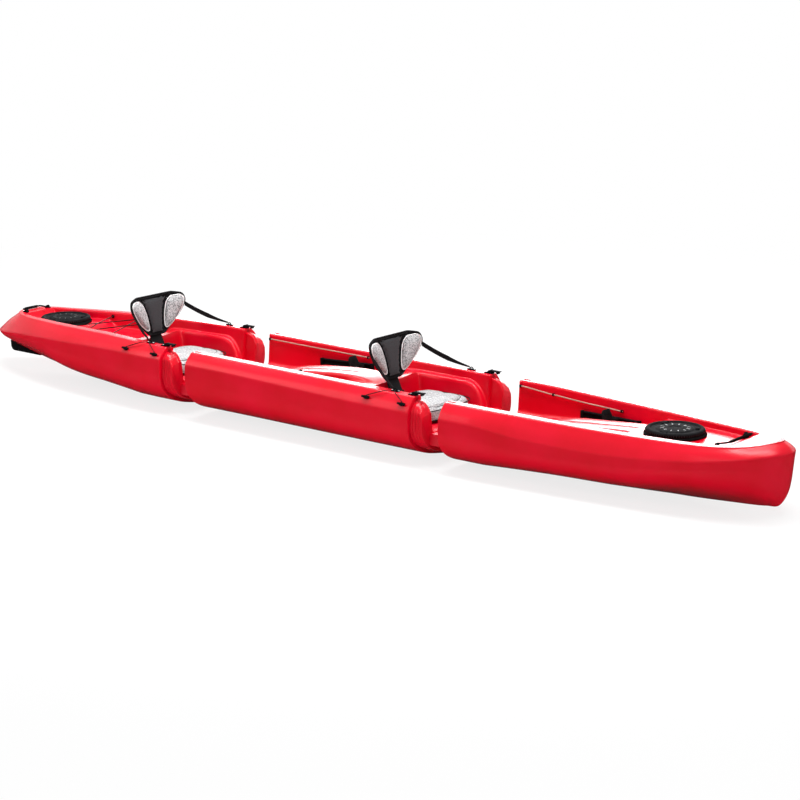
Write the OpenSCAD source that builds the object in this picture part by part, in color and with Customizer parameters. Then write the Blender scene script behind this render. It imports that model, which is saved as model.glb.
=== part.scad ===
// Sit-on-top touring kayak for two in three take-apart modules, shown with the modules pulled apart.
// Origin under the middle of the whole boat, +X to the bow, +Y to port, +Z up, millimetres.

/* [Hull modules] */
// Length of the stern module from its tip to its shoulder
stern_len = 1525; // [1400:5:1700]
// Length of the middle module from its rear edge to its shoulder
mid_len = 1368; // [1300:4:1600]
// Length of the bow module from its rear edge to the stem
bow_len = 1563; // [1480:1:1700]
// Free space between two modules as they stand apart
module_gap = 168; // [150:2:260]
// Beam over the side creases
beam = 708; // [680:4:760]
// Height of the gunwale at the stern coupling
stern_sheer = 318; // [310:1:335]
// Height of the gunwale at the bow coupling
bow_sheer = 306; // [300:1:320]
// Width of the flat gunwale top
gunwale_width = 56; // [52:1:66]
// Rounding of the gunwale edges
edge_round = 5; // [3:1:8]
// Forward rake of the stern deck edge over the tip
stern_rake = 195; // [120:5:230]
// Backward rake of the bow deck edge behind the stem
stem_rake = 48; // [20:2:80]

/* [Couplings] */
// Outer skin left round a coupling socket
outer_skin = 15; // [12:1:18]
// Inner skin left between a socket and the cockpit
inner_skin = 10; // [8:1:14]
// Skin of the gunwale over a socket
top_skin = 15; // [13:1:18]
// Running clearance of a plug in its socket
plug_clear = 3; // [2:0.5:4]
// Length of the plug ahead of its shoulder
plug_len = 66; // [60:2:95]
// Length of the tongue ahead of the plug
tongue_len = 56; // [20:2:60]
// Half width of the tongue
tongue_half = 276; // [180:2:278]
// Height of the tongue's lower face
tongue_low = 88; // [84:2:92]
// Height of the tongue itself
tongue_high = 54; // [40:2:56]

/* [Cockpits] */
// Height of the seat well floor
seat_floor = 140; // [134:1:150]
// Height of the hip ledges beside a seat
ledge_high = 271; // [260:1:280]
// Height of the hump behind a seat
hump_high = 264; // [250:1:272]
// Distance from a shoulder back to the front of the hump
hump_back = 395; // [385:1:430]
// Half width of the seat well between the hip ledges
well_half = 214; // [208:1:224]
// Height of the leg well floor at the rear of the middle module
mid_leg_floor = 168; // [162:1:178]
// Height of the leg well floor at the rear of the bow module
bow_leg_floor = 160; // [154:1:172]
// Half width of the ridge between the leg wells
ridge_half = 80; // [60:1:84]
// Height of the ridge between the middle module's leg wells at its front end
ridge_high = 284; // [274:1:290]
// Bore of a scupper drain
scupper_bore = 26; // [18:1:34]

/* [Deck and hatches] */
// Height of the recessed hatch decks
deck_high = 264; // [256:1:272]
// Height of the tank well floor
tank_floor = 222; // [210:1:240]
// Hatch centre ahead of the stern tip
stern_hatch_at = 495; // [470:5:520]
// Hatch centre behind the stem
bow_hatch_aft = 565; // [550:1:595]
// Diameter of a hatch lid
lid_dia = 255; // [235:1:260]
// Diameter of the hatch opening
hatch_bore = 200; // [170:2:206]
// Height of a hatch rim above its deck
rim_high = 12; // [8:1:16]
// Thickness of a hatch lid above its rim
lid_thick = 18; // [14:1:24]
// Wall of the hull round a hold
hold_wall = 14; // [10:1:20]

/* [Seats] */
// Length of a seat cushion
cushion_len = 310; // [280:2:312]
// Width of a seat cushion
cushion_wide = 396; // [360:2:404]
// Thickness of a seat cushion at its edge
cushion_thick = 54; // [36:1:56]
// Crown of a seat cushion
cushion_crown = 13; // [6:1:18]
// Seat back hinge behind the shoulder
seat_hinge_back = 348; // [344:1:356]
// Height of the seat back hinge
seat_hinge_high = 214; // [210:1:222]
// Recline of the seat back
seat_recline = 10; // [4:1:16]
// Widest width of a seat back
back_wide = 376; // [330:2:390]
// Height of a seat back above its hinge
back_high = 272; // [240:2:300]
// Thickness of the seat back frame
back_thick = 10; // [8:1:14]
// How far the sides of a seat back wrap forward
back_wrap = 42; // [20:1:60]

/* [Fittings] */
// Pad eye centre behind a shoulder
pad_eye_back = 126; // [110:2:150]
// Latch pivot behind a shoulder
latch_back = 16; // [14:1:22]
// Latch pivot above the gunwale
latch_pivot_high = 11; // [10:0.5:14]
// Diameter of a latch pin
latch_pin = 5; // [4:0.5:6]
// Radial clearance on a moving pin
pin_clear = 0.4; // [0.2:0.1:0.6]
// Span of a carry handle between its pivots
handle_span = 176; // [150:2:186]
// Diameter of a carry handle's rod
handle_rod = 8; // [6:0.5:10]
// Length of a foot brace rail
rail_len = 330; // [280:5:360]
// Height of a foot brace rail
rail_high = 30; // [24:1:34]
// Depth of a foot brace rail
rail_deep = 12; // [9:1:15]
// Play of a foot pedal on its rail
pedal_clear = 0.6; // [0.4:0.1:1]
// Diameter of the shock cord
shock_cord = 5; // [4:0.5:7]
// Diameter of the wall cord
wall_cord = 6; // [4:0.5:7]
// Width of a seat strap
strap_wide = 24; // [20:1:30]
// Thickness of the skeg
skeg_thick = 14; // [10:1:24]

/* [Hidden] */
$fn = 48;
stern = 0;
mid = 1;
bow = 2;
port = 1;
stbd = -1;
// Smallest gap left where two pieces sit together
seat_gap = 0.3;
total_len = stern_len + mid_len + bow_len + 2 * module_gap;
socket_depth = plug_len + tongue_len + 10;
half_beam = beam / 2;
step = 0.5;
// Half width of a hatch rim, and the room its recess keeps round it
rim_half = lid_dia / 2 + 7;
rim_room = 4;
shut = 420;

// Plan of the side crease in each module: share of its length, share of the half beam
stern_plan = [[0, .03], [.008, .085], [.025, .16], [.06, .28], [.12, .41], [.2, .53], [.36, .71],
    [.51, .83], [.72, .915], [.9, .99], [.93, .995], [1, .995]];
mid_plan = [[0, .995], [.1, .995], [.5, 1], [.9, .995], [1, .995]];
bow_plan = [[0, .995], [.09, .995], [.25, .955], [.5, .876], [.73, .75], [.82, .662], [.875, .565],
    [.925, .446], [.963, .31], [.989, .155], [1, .035]];
// How far the gunwale leans in from the crease, millimetres
stern_lean = [[0, 2], [.025, 8], [.06, 12], [.12, 22], [.2, 35], [.36, 48], [1, 45]];
mid_lean = [[0, 45], [1, 45]];
bow_lean = [[0, 45], [.85, 45], [.925, 49], [.963, 38], [.989, 24], [1, 2]];
// Height of the crease and of the keel
stern_crease = [[0, 168], [.1, 190], [.25, 220], [.5, 245], [.9, 264], [1, 264]];
mid_crease = [[0, 264], [.1, 264], [.9, 240], [1, 240]];
bow_crease = [[0, 240], [.09, 240], [.28, 214], [.5, 208], [.78, 234], [1, 277]];
stern_keel = [[0, 130], [.036, 114], [.11, 85], [.2, 57], [.3, 31], [.42, 12], [.56, 2], [.68, 0]];
bow_keel = [[.5, 0], [.7, 8], [.85, 22], [1, 36]];
// Gunwale height above or below the nearest coupling's gunwale
stern_rise = [[0, -20], [.2, -20], [.36, -14], [.51, -6], [.68, 0]];
bow_rise = [[.09, 0], [.5, -11], [.73, -14], [.85, -11], [.925, -4], [1, 14]];
// Half section below the crease: share of the crease half beam, share of the crease height over the keel
section_shares = [[0, 0], [.18, 0], [.6, .11], [.82, .25], [.94, .41], [1, .62], [1, .82], [.99, 1]];
// The same heights where the bottom is a full vee, and how much of that vee each end has
vee_high = [0, .15, .47, .64, .79, .88, .95, 1];
stern_vee = [[0, 1], [.2, .97], [.31, .8], [.45, .45], [.656, .21], [.83, 0]];
bow_vee = [[.1, 0], [.31, .24], [.59, .4], [.74, .6], [.9, .55], [1, 0]];
// Which way each point of the half section moves when the skin is set in
inset_way = [[0, 1], [0, 1], [-.2, .95], [-.55, .8], [-.85, .5], [-1, .1], [-1, 0], [-1, 0], [-.9, -.3]];
// End rake of each outer line at the stern tip and at the stem
stern_end = [55, 55, 52, 48, 40, 25, 10, 0];
stem_end = [100, 62, 37, 22, 16, 12, 7, 0];

// Smooth line through a few points, without overshoot
function seg(p, x, i = 0) = i >= len(p) - 2 || x < p[i + 1][0] ? i : seg(p, x, i + 1);
function rise(p, i) = (p[i + 1][1] - p[i][1]) / (p[i + 1][0] - p[i][0]);
function slope(p, i) =
    i == 0 ? rise(p, 0)
    : i == len(p) - 1 ? rise(p, i - 1)
    : let (a = rise(p, i - 1), b = rise(p, i))
      a * b <= 0 ? 0 : sign(a) * min(abs(a + b) / 2, 2 * min(abs(a), abs(b)));
function along(p, x) =
    x <= p[0][0] ? p[0][1]
    : x >= p[len(p) - 1][0] ? p[len(p) - 1][1]
    : let (i = seg(p, x), h = p[i + 1][0] - p[i][0], t = (x - p[i][0]) / h)
      p[i][1] * (1 + 2 * t) * pow(1 - t, 2) + p[i + 1][1] * t * t * (3 - 2 * t)
      + h * (slope(p, i) * t * pow(1 - t, 2) - slope(p, i + 1) * t * t * (1 - t));
function mix(a, b, t) = a + (b - a) * t;

// Lines of the hull: m is the module, r the distance ahead of the module's rear end
function module_len(m) = [stern_len, mid_len, bow_len][m];
function rear_x(m) = [-total_len / 2, -total_len / 2 + stern_len + module_gap, total_len / 2 - bow_len][m];
function shoulder_x(m) = rear_x(m) + module_len(m);
function share(m, r) = min(r, module_len(m)) / module_len(m);
function crease_y(m, r) = half_beam * along([stern_plan, mid_plan, bow_plan][m], share(m, r));
function crease_z(m, r) = along([stern_crease, mid_crease, bow_crease][m], share(m, r));
function keel_z(m, r) = m == stern ? along(stern_keel, share(m, r)) : m == bow
    ? along(bow_keel, share(m, r)) : 0;
function sheer(m, r) =
    m == stern ? stern_sheer + along(stern_rise, share(m, r))
    : m == bow ? bow_sheer + along(bow_rise, share(m, r))
    : mix(stern_sheer, bow_sheer, share(m, r));
function gunwale_y(m, r) = crease_y(m, r) - along([stern_lean, mid_lean, bow_lean][m], share(m, r));
function rim_width(m, r) = gunwale_width * min(1, .3 + gunwale_y(m, r) / half_beam);
function hatch_room(m, r) =
    let (h = rim_half + rim_room, e = abs(r - (m == stern ? stern_hatch_at : bow_hatch_at)))
    m == mid ? 0 : along([[0, h], [.6 * h, .97 * h], [h, 0]], e);
function inner_y(m, r) =
    let (g = gunwale_y(m, r)) max(g - rim_width(m, r), .45 * g, min(g - 14, hatch_room(m, r)));
function gunwale_mid(m, r) = (gunwale_y(m, r) + inner_y(m, r)) / 2;

// Heights inside the cockpits
hump_at = [for (m = [stern, mid]) module_len(m) - hump_back];
bow_hatch_at = bow_len - bow_hatch_aft;
stern_deck_end = stern_hatch_at + lid_dia / 2 + 22;
bow_deck_start = bow_hatch_at - lid_dia / 2 - 22;
bow_deck_end = bow_hatch_at + lid_dia / 2 + 175;
foot_end = hump_at[mid] - 225;
bow_foot_end = bow_deck_start - 130;
seat_drop = 36;
function seat_lines(m, top) = [[hump_at[m], top], [hump_at[m] + seat_drop, seat_floor + 8],
    [module_len(m) - 150, seat_floor], [module_len(m), seat_floor]];
function ledge_lines(m) = [[hump_at[m] - 60, hump_high + 4], [hump_at[m] + 40, ledge_high],
    [module_len(m) - 120, ledge_high], [module_len(m) - 60, ledge_high - 20],
    [module_len(m) - 20, ledge_high - 75], [module_len(m) - 4, seat_floor + 14]];
wall_lines = [
    concat([[150, shut], [265, deck_high], [stern_deck_end, deck_high],
        [stern_deck_end + 70, tank_floor + 10],
        [hump_at[stern] - 130, tank_floor + 10]], ledge_lines(stern)),
    concat([[socket_depth, mid_leg_floor], [360, 180], [690, 196], [foot_end, 204],
        [foot_end + 110, hump_high - 2]],
        ledge_lines(mid)),
    [[socket_depth, bow_leg_floor], [366, 177], [bow_foot_end - 28, 190], [bow_foot_end + 40, 200],
        [bow_deck_start, deck_high],
        [bow_deck_end, deck_high], [bow_deck_end + 90, shut]]];
floor_lines = [
    concat([[150, shut], [265, deck_high], [stern_deck_end, deck_high], [stern_deck_end + 75, tank_floor],
        [hump_at[stern] - 120, tank_floor], [hump_at[stern] - 45, hump_high]],
            seat_lines(stern, hump_high)),
    concat([[socket_depth, mid_leg_floor], [foot_end, 178], [foot_end + 105, hump_high - 4]],
        seat_lines(mid, hump_high)),
    [[socket_depth, bow_leg_floor], [bow_foot_end, 168], [bow_foot_end + 105, deck_high - 6],
        [bow_deck_start, deck_high], [bow_deck_end, deck_high], [bow_deck_end + 90, shut]]];
ridge_lines = [
    floor_lines[stern],
    concat([[socket_depth, mid_leg_floor], [socket_depth + 60, mid_leg_floor + 12],
        [foot_end - 401, ridge_high - 52], [foot_end - 301, ridge_high - 32],
        [foot_end - 130, ridge_high - 11], [foot_end + 60, ridge_high]], seat_lines(mid, hump_high)),
    [[socket_depth, bow_leg_floor], [bow_foot_end - 388, bow_leg_floor + 3],
        [bow_foot_end - 346, deck_high - 42], [bow_foot_end - 60, deck_high - 11],
        [bow_deck_start, deck_high], [bow_deck_end, deck_high], [bow_deck_end + 90, shut]]];
function inside_z(lines, m, r) = min(along(lines[m], min(r, module_len(m))), sheer(m, r));
// One where a seat well is, nothing elsewhere
function seat_share(m, r) =
    m == bow ? 0 : along([[hump_at[m] - 70, 0], [hump_at[m], 1], [module_len(m) - 20, 1],
        [module_len(m), .6]], r);

// Half rings of the loft, from the middle of the bottom up, as [y, z]
function vee(m, r) = m == mid ? 0 : along(m == stern ? stern_vee : bow_vee, share(m, r));
function outer_half(m, r) =
    let (y = crease_y(m, r), z = crease_z(m, r), k = keel_z(m, r), g = gunwale_y(m, r), s = sheer(m, r),
        v = vee(m, r))
    concat([for (i = [0:7]) [section_shares[i][0] * y,
        k + mix(section_shares[i][1], vee_high[i], v) * (z - k)]],
        [[mix(.99 * y, g, .5) + 4 * y / half_beam, mix(z, s, .5)], [g, s - edge_round],
            [mix(0, g, .98), s]]);
function inset_half(m, d, top) =
    let (o = outer_half(m, module_len(m)), g = gunwale_y(m, module_len(m)))
    concat([for (k = [0:8]) [o[k][0] + d * inset_way[k][0],
        min(o[k][1] + d * inset_way[k][1], top - 14 - 6 * (8 - k))]],
        [[g - d, top - edge_round], [g - d - edge_round, top]]);
function tub_half(m, r, d, top) =
    let (yi = inner_y(m, r), w = inside_z(wall_lines, m, r), f = inside_z(floor_lines, m, r),
        c = inside_z(ridge_lines, m, r), q = seat_share(m, r), e = min(edge_round, (top - w + d) / 2),
        yw = yi - min(10, (top - w) / 8), l1 = mix(.92 * yw, min(well_half, .92 * yw), q),
        l2 = mix(.84 * yw, min(well_half - 12, .86 * yw), q),
            y1 = min(mix(ridge_half + 14, 130, q), .66 * yw),
        y2 = min(mix(ridge_half, 80, q), .5 * yw), in = [yw + d, w - d], out = [yi + d, top - e])
    concat([[0, c - d], [y2, c - d - 2 * q], [y1, mix(f, f + 2, q) - d],
        [l2 + .6 * d, mix(f, f + 8, q) - d],
        [l1 + .8 * d, w - 2 - d]],
        [in, mix(in, out, .3), mix(in, out, .6), mix(in, out, .85), out], [[yi + d + e * .9, top]]);
// The socket's loop: outer wall from the inset skin, inner wall from the cockpit
function socket_outer(m) =
    let (o = outer_half(m, 0), g = gunwale_y(m, 0), t = sheer(m, 0) - top_skin)
    concat([for (k = [0:8]) [o[k][0] + outer_skin * inset_way[k][0],
        min(o[k][1] + outer_skin * inset_way[k][1], t - 4 * (8 - k))]],
        [[g - outer_skin, t - edge_round], [g - outer_skin - edge_round, t]]);
function plug_top(m, r) = sheer(m, r) - top_skin - plug_clear
    - along([[0, 0], [plug_len * .4, 5], [plug_len * .75, 22], [plug_len, 50]], r - module_len(m));
function end_shift(m, r, k) =
    let (s = share(m, r))
    m == stern ? (k > 7 ? stern_rake * (k == 8 ? .45 : 1) * pow(max(0, 1 - s / .33), 1.6)
        : stern_end[k] * pow(max(0, 1 - s / .1), 2))
    : m == bow ? -(k > 7 ? stem_rake * (k == 8 ? .4 : 1) * pow(max(0, (s - .8) / .2), 2)
        : stem_end[k] * pow(max(0, (s - .85) / .15), 2))
    : 0;

// Joins two half rings and their mirror images into one closed ring
function whole_ring(x, o, n, s, t) = concat(
    [for (k = [0:10]) [x + s[k], o[k][0], o[k][1]]],
    [for (k = [10:-1:0]) [x + t, n[k][0], n[k][1]]],
    [for (k = [1:10]) [x + t, -n[k][0], n[k][1]]],
    [for (k = [10:-1:1]) [x + s[k], -o[k][0], o[k][1]]]);
function hull_ring(m, r) =
    r > module_len(m)
    ? whole_ring(rear_x(m) + r, inset_half(m, outer_skin + plug_clear
        + max(0, r - module_len(m) - plug_len * .7) * .15, plug_top(m, r)),
        tub_half(m + 1, 0, inner_skin + plug_clear, plug_top(m, r)), [for (k = [0:10]) 0], 0)
    : whole_ring(rear_x(m) + r, outer_half(m, r), tub_half(m, r, 0, sheer(m, r)),
        [for (k = [0:10]) end_shift(m, r, k)], end_shift(m, r, 9));
function socket_ring(m, r) = whole_ring(rear_x(m) + r, socket_outer(m),
    tub_half(m, 0, inner_skin, sheer(m, 0) - top_skin), [for (k = [0:10]) 0], 0);
function turn(k) = (k + 42) % 42;
function side_faces(n, from = 0) = [for (i = [0:n - 2], j = [0:41])
    let (a = from + i * 42 + j, b = a + 42, c = from + (i + 1) * 42 + turn(j + 1),
        d = from + i * 42 + turn(j + 1))
    each [[a, b, c], [a, c, d]]];
function flip(faces) = [for (f = faces) [f[2], f[1], f[0]]];
// Triangles that close a ring like a strip between its outer and its inner half
function cap_faces(from) = [for (k = [0:9])
    let (a = from + k, b = from + k + 1, c = from + 20 - k, d = from + 21 - k,
        e = from + turn(-k), f = from + turn(-k - 1), g = from + 22 + k, h = from + 21 + k)
    each [[a, d, c], [a, c, b], [e, f, g], [e, g, h]]];
// Rear face round a socket: the module's first ring at 0, the socket's ring at p
function rim_faces(p) = concat(
    [for (k = [0:9], q = [[0, k, k + 1], [0, turn(-k - 1), turn(-k)]])
        each [[q[1], q[2], p + q[2]], [q[1], p + q[2], p + q[1]]]],
    [for (k = [11:30]) each [[k, k + 1, p + k + 1], [k, p + k + 1, p + k]]],
    [for (k = [10, 31]) each [[k, k + 1, p + k + 1], [k, p + k + 1, p + k]]]);

// Stations of each module
function even(a, b, n) = [for (i = [0:n]) mix(a, b, i / n)];
function seat_stations(m) = let (h = hump_at[m], l = module_len(m))
    concat([h - 60, h - 25], [h, h + 12, h + 24, h + seat_drop], even(h + 70, l - 110, 3),
        [l - 70, l - 48, l - 26, l - 13, l - 4, l],
        [l + step], even(l + plug_len * .3, l + plug_len * .7, 2), [l + plug_len * .88, l + plug_len]);
stern_stations = concat([for (s = [0, .008, .025, .045, .07, .1, .125, .145, .17, .2]) s * stern_len],
    even(stern_hatch_at - 150, stern_deck_end, 4), [stern_deck_end + 25, stern_deck_end + 50,
        stern_deck_end + 75],
    even(stern_deck_end + 150, hump_at[stern] - 130, 2), [hump_at[stern] - 95], seat_stations(stern));
mid_stations = concat([0, socket_depth, socket_depth + 60], even(socket_depth + 140, foot_end - 60, 6),
    [foot_end, foot_end + 35, foot_end + 70, foot_end + 110], seat_stations(mid));
bow_stations = concat([0, socket_depth, 230], [for (d = [398, 373, 343]) bow_foot_end - d],
    even(bow_foot_end - 288, bow_foot_end, 3),
    [bow_foot_end + 35, bow_foot_end + 70, bow_foot_end + 105, bow_deck_start],
        even(bow_hatch_at - 60, bow_deck_end - 60, 4),
    [bow_deck_end, bow_deck_end + 18, bow_deck_end + 36], [for (s = [.875, .9, .925, .945, .963, .978,
        .989, .996, 1]) s * bow_len]);

module hull_loft(m, stations) {
    n = len(stations);
    body = [for (r = stations) each hull_ring(m, r)];
    if (m == stern)
        polyhedron(body, concat(side_faces(n), cap_faces((n - 1) * 42), flip(cap_faces(0))));
    else
        polyhedron(concat(body, socket_ring(m, 0), socket_ring(m, socket_depth)),
            concat(side_faces(n), cap_faces((n - 1) * 42), flip(side_faces(2, n * 42)),
                flip(cap_faces((n + 1) * 42)), rim_faces(n * 42)));
}

module tongue(m) {
    translate([shoulder_x(m) + plug_len - 6, -tongue_half, tongue_low])
        cube([tongue_len + 6, 2 * tongue_half, tongue_high]);
}

// Space under a hatch, reached through its bore
module hold(m, at) {
    function hold_ring(r) =
        let (y = crease_y(m, r), k = keel_z(m, r), d = crease_z(m, r) - k, v = vee(m, r), a = .62 * y,
            b = .88 * y - hold_wall, low = k + mix(.16, .55, v) * d + hold_wall * .8,
            half = k + mix(.55, .8, v) * d, top = deck_high - hold_wall)
        [for (p = [[-a, low], [a, low], [b, half], [b, top], [-b, top], [-b, half]]) [rear_x(m) + r,
            p[0], p[1]]];
    spots = [at - 150, at - 75, at, at + 75, at + 150];
    last = 6 * (len(spots) - 1);
    polyhedron([for (r = spots) each hold_ring(r)], concat(
        [for (i = [0:len(spots) - 2], j = [0:5])
            let (a = i * 6 + j, b = a + 6, c = (i + 1) * 6 + (j + 1) % 6, d = i * 6 + (j + 1) % 6)
            each [[a, b, c], [a, c, d]]],
        [for (j = [1:4]) [0, j, j + 1]],
        [for (j = [1:4]) [last, last + j + 1, last + j]]));
    translate([rear_x(m) + at, 0, deck_high - hold_wall - 6])
        cylinder(d = hatch_bore, h = hold_wall + 30);
}

pocket_at = 28;
pocket_len = 46;
pocket_wide = 20;
pocket_deep = 10;
module latch_pocket(m, side) {
    translate([rear_x(m) + pocket_at, side * gunwale_mid(m, pocket_at),
        sheer(m, pocket_at) - pocket_deep]) {
        for (e = [-1, 1])
            translate([e * (pocket_len - pocket_wide) / 2, 0, 0])
                cylinder(d = pocket_wide, h = 2 * pocket_deep);
        translate([-(pocket_len - pocket_wide) / 2, -pocket_wide / 2, 0])
            cube([pocket_len - pocket_wide, pocket_wide, 2 * pocket_deep]);
    }
}

// Where the scuppers stand: behind the hump, the shoulder or the foot end, and out from the middle
tank_scupper = [190, 105];
well_scupper = [60, 120];
leg_scupper = [60, 140];
bow_scupper = [60, 130];
module scupper(m, r, y) {
    translate([rear_x(m) + r, y, -1])
        cylinder(d = scupper_bore, h = hump_high);
}

red = [.78, .03, .08];
black = [.05, .05, .055];
dark = [.13, .13, .14];
light = [.62, .63, .64];
steel = [.7, .7, .72];
cord_tint = [.6, .56, .5];

module stern_hull() {
    color(red)
        difference() {
            union() {
                hull_loft(stern, stern_stations);
                tongue(stern);
            }
            hold(stern, stern_hatch_at);
            for (y = [-1, 1]) {
                scupper(stern, hump_at[stern] - tank_scupper[0], y * tank_scupper[1]);
                scupper(stern, stern_len - well_scupper[0], y * well_scupper[1]);
            }
        }
}

module mid_hull() {
    color(red)
        difference() {
            union() {
                hull_loft(mid, mid_stations);
                tongue(mid);
            }
            for (y = [-1, 1]) {
                latch_pocket(mid, y);
                scupper(mid, foot_end - leg_scupper[0], y * leg_scupper[1]);
                scupper(mid, mid_len - well_scupper[0], y * well_scupper[1]);
            }
        }
}

module bow_hull() {
    color(red)
        difference() {
            hull_loft(bow, bow_stations);
            hold(bow, bow_hatch_at);
            for (y = [-1, 1]) {
                latch_pocket(bow, y);
                scupper(bow, bow_foot_end - bow_scupper[0], y * bow_scupper[1]);
            }
        }
}

// Fixed fin under the stern, its top edge along the keel
skeg_from = 66;
skeg_to = 300;
skeg_nose = 1;
module skeg() {
    skeg_low = keel_z(stern, skeg_to) - seat_gap - skeg_nose;
    top = [for (r = [skeg_to:-26:skeg_from]) [r, keel_z(stern, r) - seat_gap]];
    heel = [for (a = [180:15:270]) [skeg_from + 30 + 28 * cos(a), skeg_low + 28 + 28 * sin(a)]];
    color(black)
        translate([rear_x(stern), skeg_thick / 2, 0])
            rotate([90, 0, 0])
                linear_extrude(skeg_thick)
                    polygon(concat(top, heel, [[skeg_to - 8, skeg_low]]));
}

// Hatch rim and lid turned about the hatch axis
module hatch_rim(m, at) {
    color(black)
        translate([rear_x(m) + at, 0, deck_high + seat_gap])
            rotate_extrude()
                polygon([[hatch_bore / 2, 0], [rim_half, 0], [rim_half, rim_high * .5],
                    [rim_half - 3, rim_high * .8],
                    [rim_half - 8, rim_high], [hatch_bore / 2, rim_high]]);
}
module stern_hatch_rim() { hatch_rim(stern, stern_hatch_at); }
module bow_hatch_rim() { hatch_rim(bow, bow_hatch_at); }

// The lid: a boss in the bore, an edge roll, a sunk ring and a raised centre
module hatch_lid(m, at) {
    r = lid_dia / 2;
    b = hatch_bore / 2 - 2;
    t = lid_thick;
    color(dark)
        translate([rear_x(m) + at, 0, deck_high + rim_high + 2 * seat_gap])
            rotate_extrude()
                polygon([[0, -rim_high], [b - 4, -rim_high], [b, -rim_high + 4], [b, 0], [r - 2, 0],
                    [r, 3], [r, t * .55],
                    [r - 3, t * .85], [r - 9, t], [r - 18, t], [r - 24, t * .68], [r - 44, t * .68],
                        [r - 52, t * .9],
                    [28, t], [22, t * .86], [0, t * .86]]);
}
module stern_hatch_lid() { hatch_lid(stern, stern_hatch_at); }
module bow_hatch_lid() { hatch_lid(bow, bow_hatch_at); }

// Three finger bars standing across the sunk ring of a lid
module lid_grip(m, at) {
    r = lid_dia / 2;
    bar = 34;
    color(black)
        translate([rear_x(m) + at, 0, deck_high + rim_high + 3 * seat_gap + lid_thick * .68])
            for (a = [30, 150, 270])
                rotate(a)
                    translate([r - 43, -5, 0])
                        rotate([90, 0, 90])
                            linear_extrude(18)
                                translate([5, 0])
                                    polygon([[-bar / 2, 0], [bar / 2, 0], [bar / 2 - 3, 4],
                                        [bar / 2 - 8, 6], [8 - bar / 2, 6],
                                        [3 - bar / 2, 4]]);
}
module stern_lid_grip() { lid_grip(stern, stern_hatch_at); }
module bow_lid_grip() { lid_grip(bow, bow_hatch_at); }

// Carry handles: two lugs on the deck, a bent rod and a grip sleeve
stern_handle_at = 276;
bow_handle_at = bow_deck_end - 28;
lug_round = 7;
lug_wide = 14;
handle_pivot = [8, 0, 24];
handle_more = [-12, 0, 26];
handle_reach = 44;
grip_thick = 3;
bend = 14;
function handle_x(m) = rear_x(m) + (m == stern ? stern_handle_at : bow_handle_at);
function handle_deck(m) = m == stern ? sheer(stern, 0) : deck_high;
handle_rest = [0, 0, 14];
function handle_half(m) = handle_span / 2 + handle_more[m];
module handle_lugs(m) {
    color(black)
        for (y = [-1, 1])
            translate([handle_x(m), y * handle_half(m) + lug_wide / 2, handle_deck(m) + seat_gap])
                rotate([90, 0, 0])
                    linear_extrude(lug_wide)
                        difference() {
                            union() {
                                translate([0, handle_pivot[m]])
                                    circle(r = lug_round);
                                polygon([[-16, 0], [16, 0], [16, 4], [lug_round, handle_pivot[m]],
                                    [-lug_round, handle_pivot[m]], [-16, 4]]);
                            }
                            translate([0, handle_pivot[m]])
                                circle(d = handle_rod + 2 * pin_clear);
                        }
}
module stern_handle_lugs() { handle_lugs(stern); }
module bow_handle_lugs() { handle_lugs(bow); }

module handle_frame(m) {
    translate([handle_x(m), 0, handle_deck(m) + handle_pivot[m] + seat_gap])
        rotate([0, m == stern ? 180 + handle_rest[m] : -handle_rest[m], 0])
            children();
}
module handle_rods(m) {
    d = handle_rod;
    w = handle_half(m) - lug_wide / 2 - 4 - d / 2;
    color(black)
        handle_frame(m)
            for (y = [-1, 1]) {
                translate([0, y * (w - 1), 0])
                    rotate([-90 * y, 0, 0])
                        cylinder(d = d, h = handle_half(m) - w + lug_wide / 2 + 4);
                translate([0, y * w, 0])
                    rotate([0, 90, 0])
                        cylinder(d = d, h = handle_reach - bend);
                translate([0, y * w, 0])
                    sphere(d = d);
                translate([handle_reach - bend, y * (w - bend), 0])
                    rotate(y > 0 ? 0 : -90)
                        rotate_extrude(angle = 90)
                            translate([bend, 0])
                                circle(d = d);
                translate([handle_reach, 0, 0])
                    rotate([-90 * y, 0, 0])
                        cylinder(d = d, h = w - bend);
            }
}
module stern_handle_rod() { handle_rods(stern); }
module bow_handle_rod() { handle_rods(bow); }

module handle_grip(m) {
    w = handle_half(m) - lug_wide / 2 - handle_rod / 2 - bend - 8;
    a = handle_rod / 2;
    g = grip_thick;
    color(dark)
        handle_frame(m)
            translate([handle_reach, -w, 0])
                rotate([-90, 0, 0])
                    rotate_extrude()
                        polygon([[a + .2, 0], [a + g * .6, 0], [a + g * .9, 5], [a + g, w],
                            [a + g * .9, 2 * w - 5], [a + g * .6, 2 * w], [a + .2, 2 * w]]);
}
module stern_handle_grip() { handle_grip(stern); }
module bow_handle_grip() { handle_grip(bow); }

// Places its children on the gunwale, level with it
module on_gunwale(m, r, side) {
    tilt = -atan2(sheer(m, r + 1) - sheer(m, r - 1), 2);
    translate([rear_x(m) + r, side * gunwale_mid(m, r), sheer(m, r) + seat_gap])
        rotate([0, tilt, 0])
            mirror([0, side > 0 ? 0 : 1, 0])
                children();
}

// Pad eyes: an oval foot with a bent eye, one on each gunwale
eye_rise = 4;
eye_radius = 9;
eye_wire = 5;
module pad_eye() {
    for (e = [-1, 1])
        translate([e * 17, 0, 0])
            cylinder(d = 16, h = eye_rise);
    translate([-17, -8, 0])
        cube([34, 16, eye_rise]);
    translate([0, 0, eye_rise - .5])
        rotate([90, 0, 0])
            rotate_extrude(angle = 180)
                translate([eye_radius, 0])
                    circle(d = eye_wire);
}
module pad_eyes(m) {
    color(black)
        for (side = [port, stbd])
            on_gunwale(m, module_len(m) - pad_eye_back, side)
                pad_eye();
}
module stern_pad_eyes() { pad_eyes(stern); }
module mid_pad_eyes() { pad_eyes(mid); }

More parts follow.
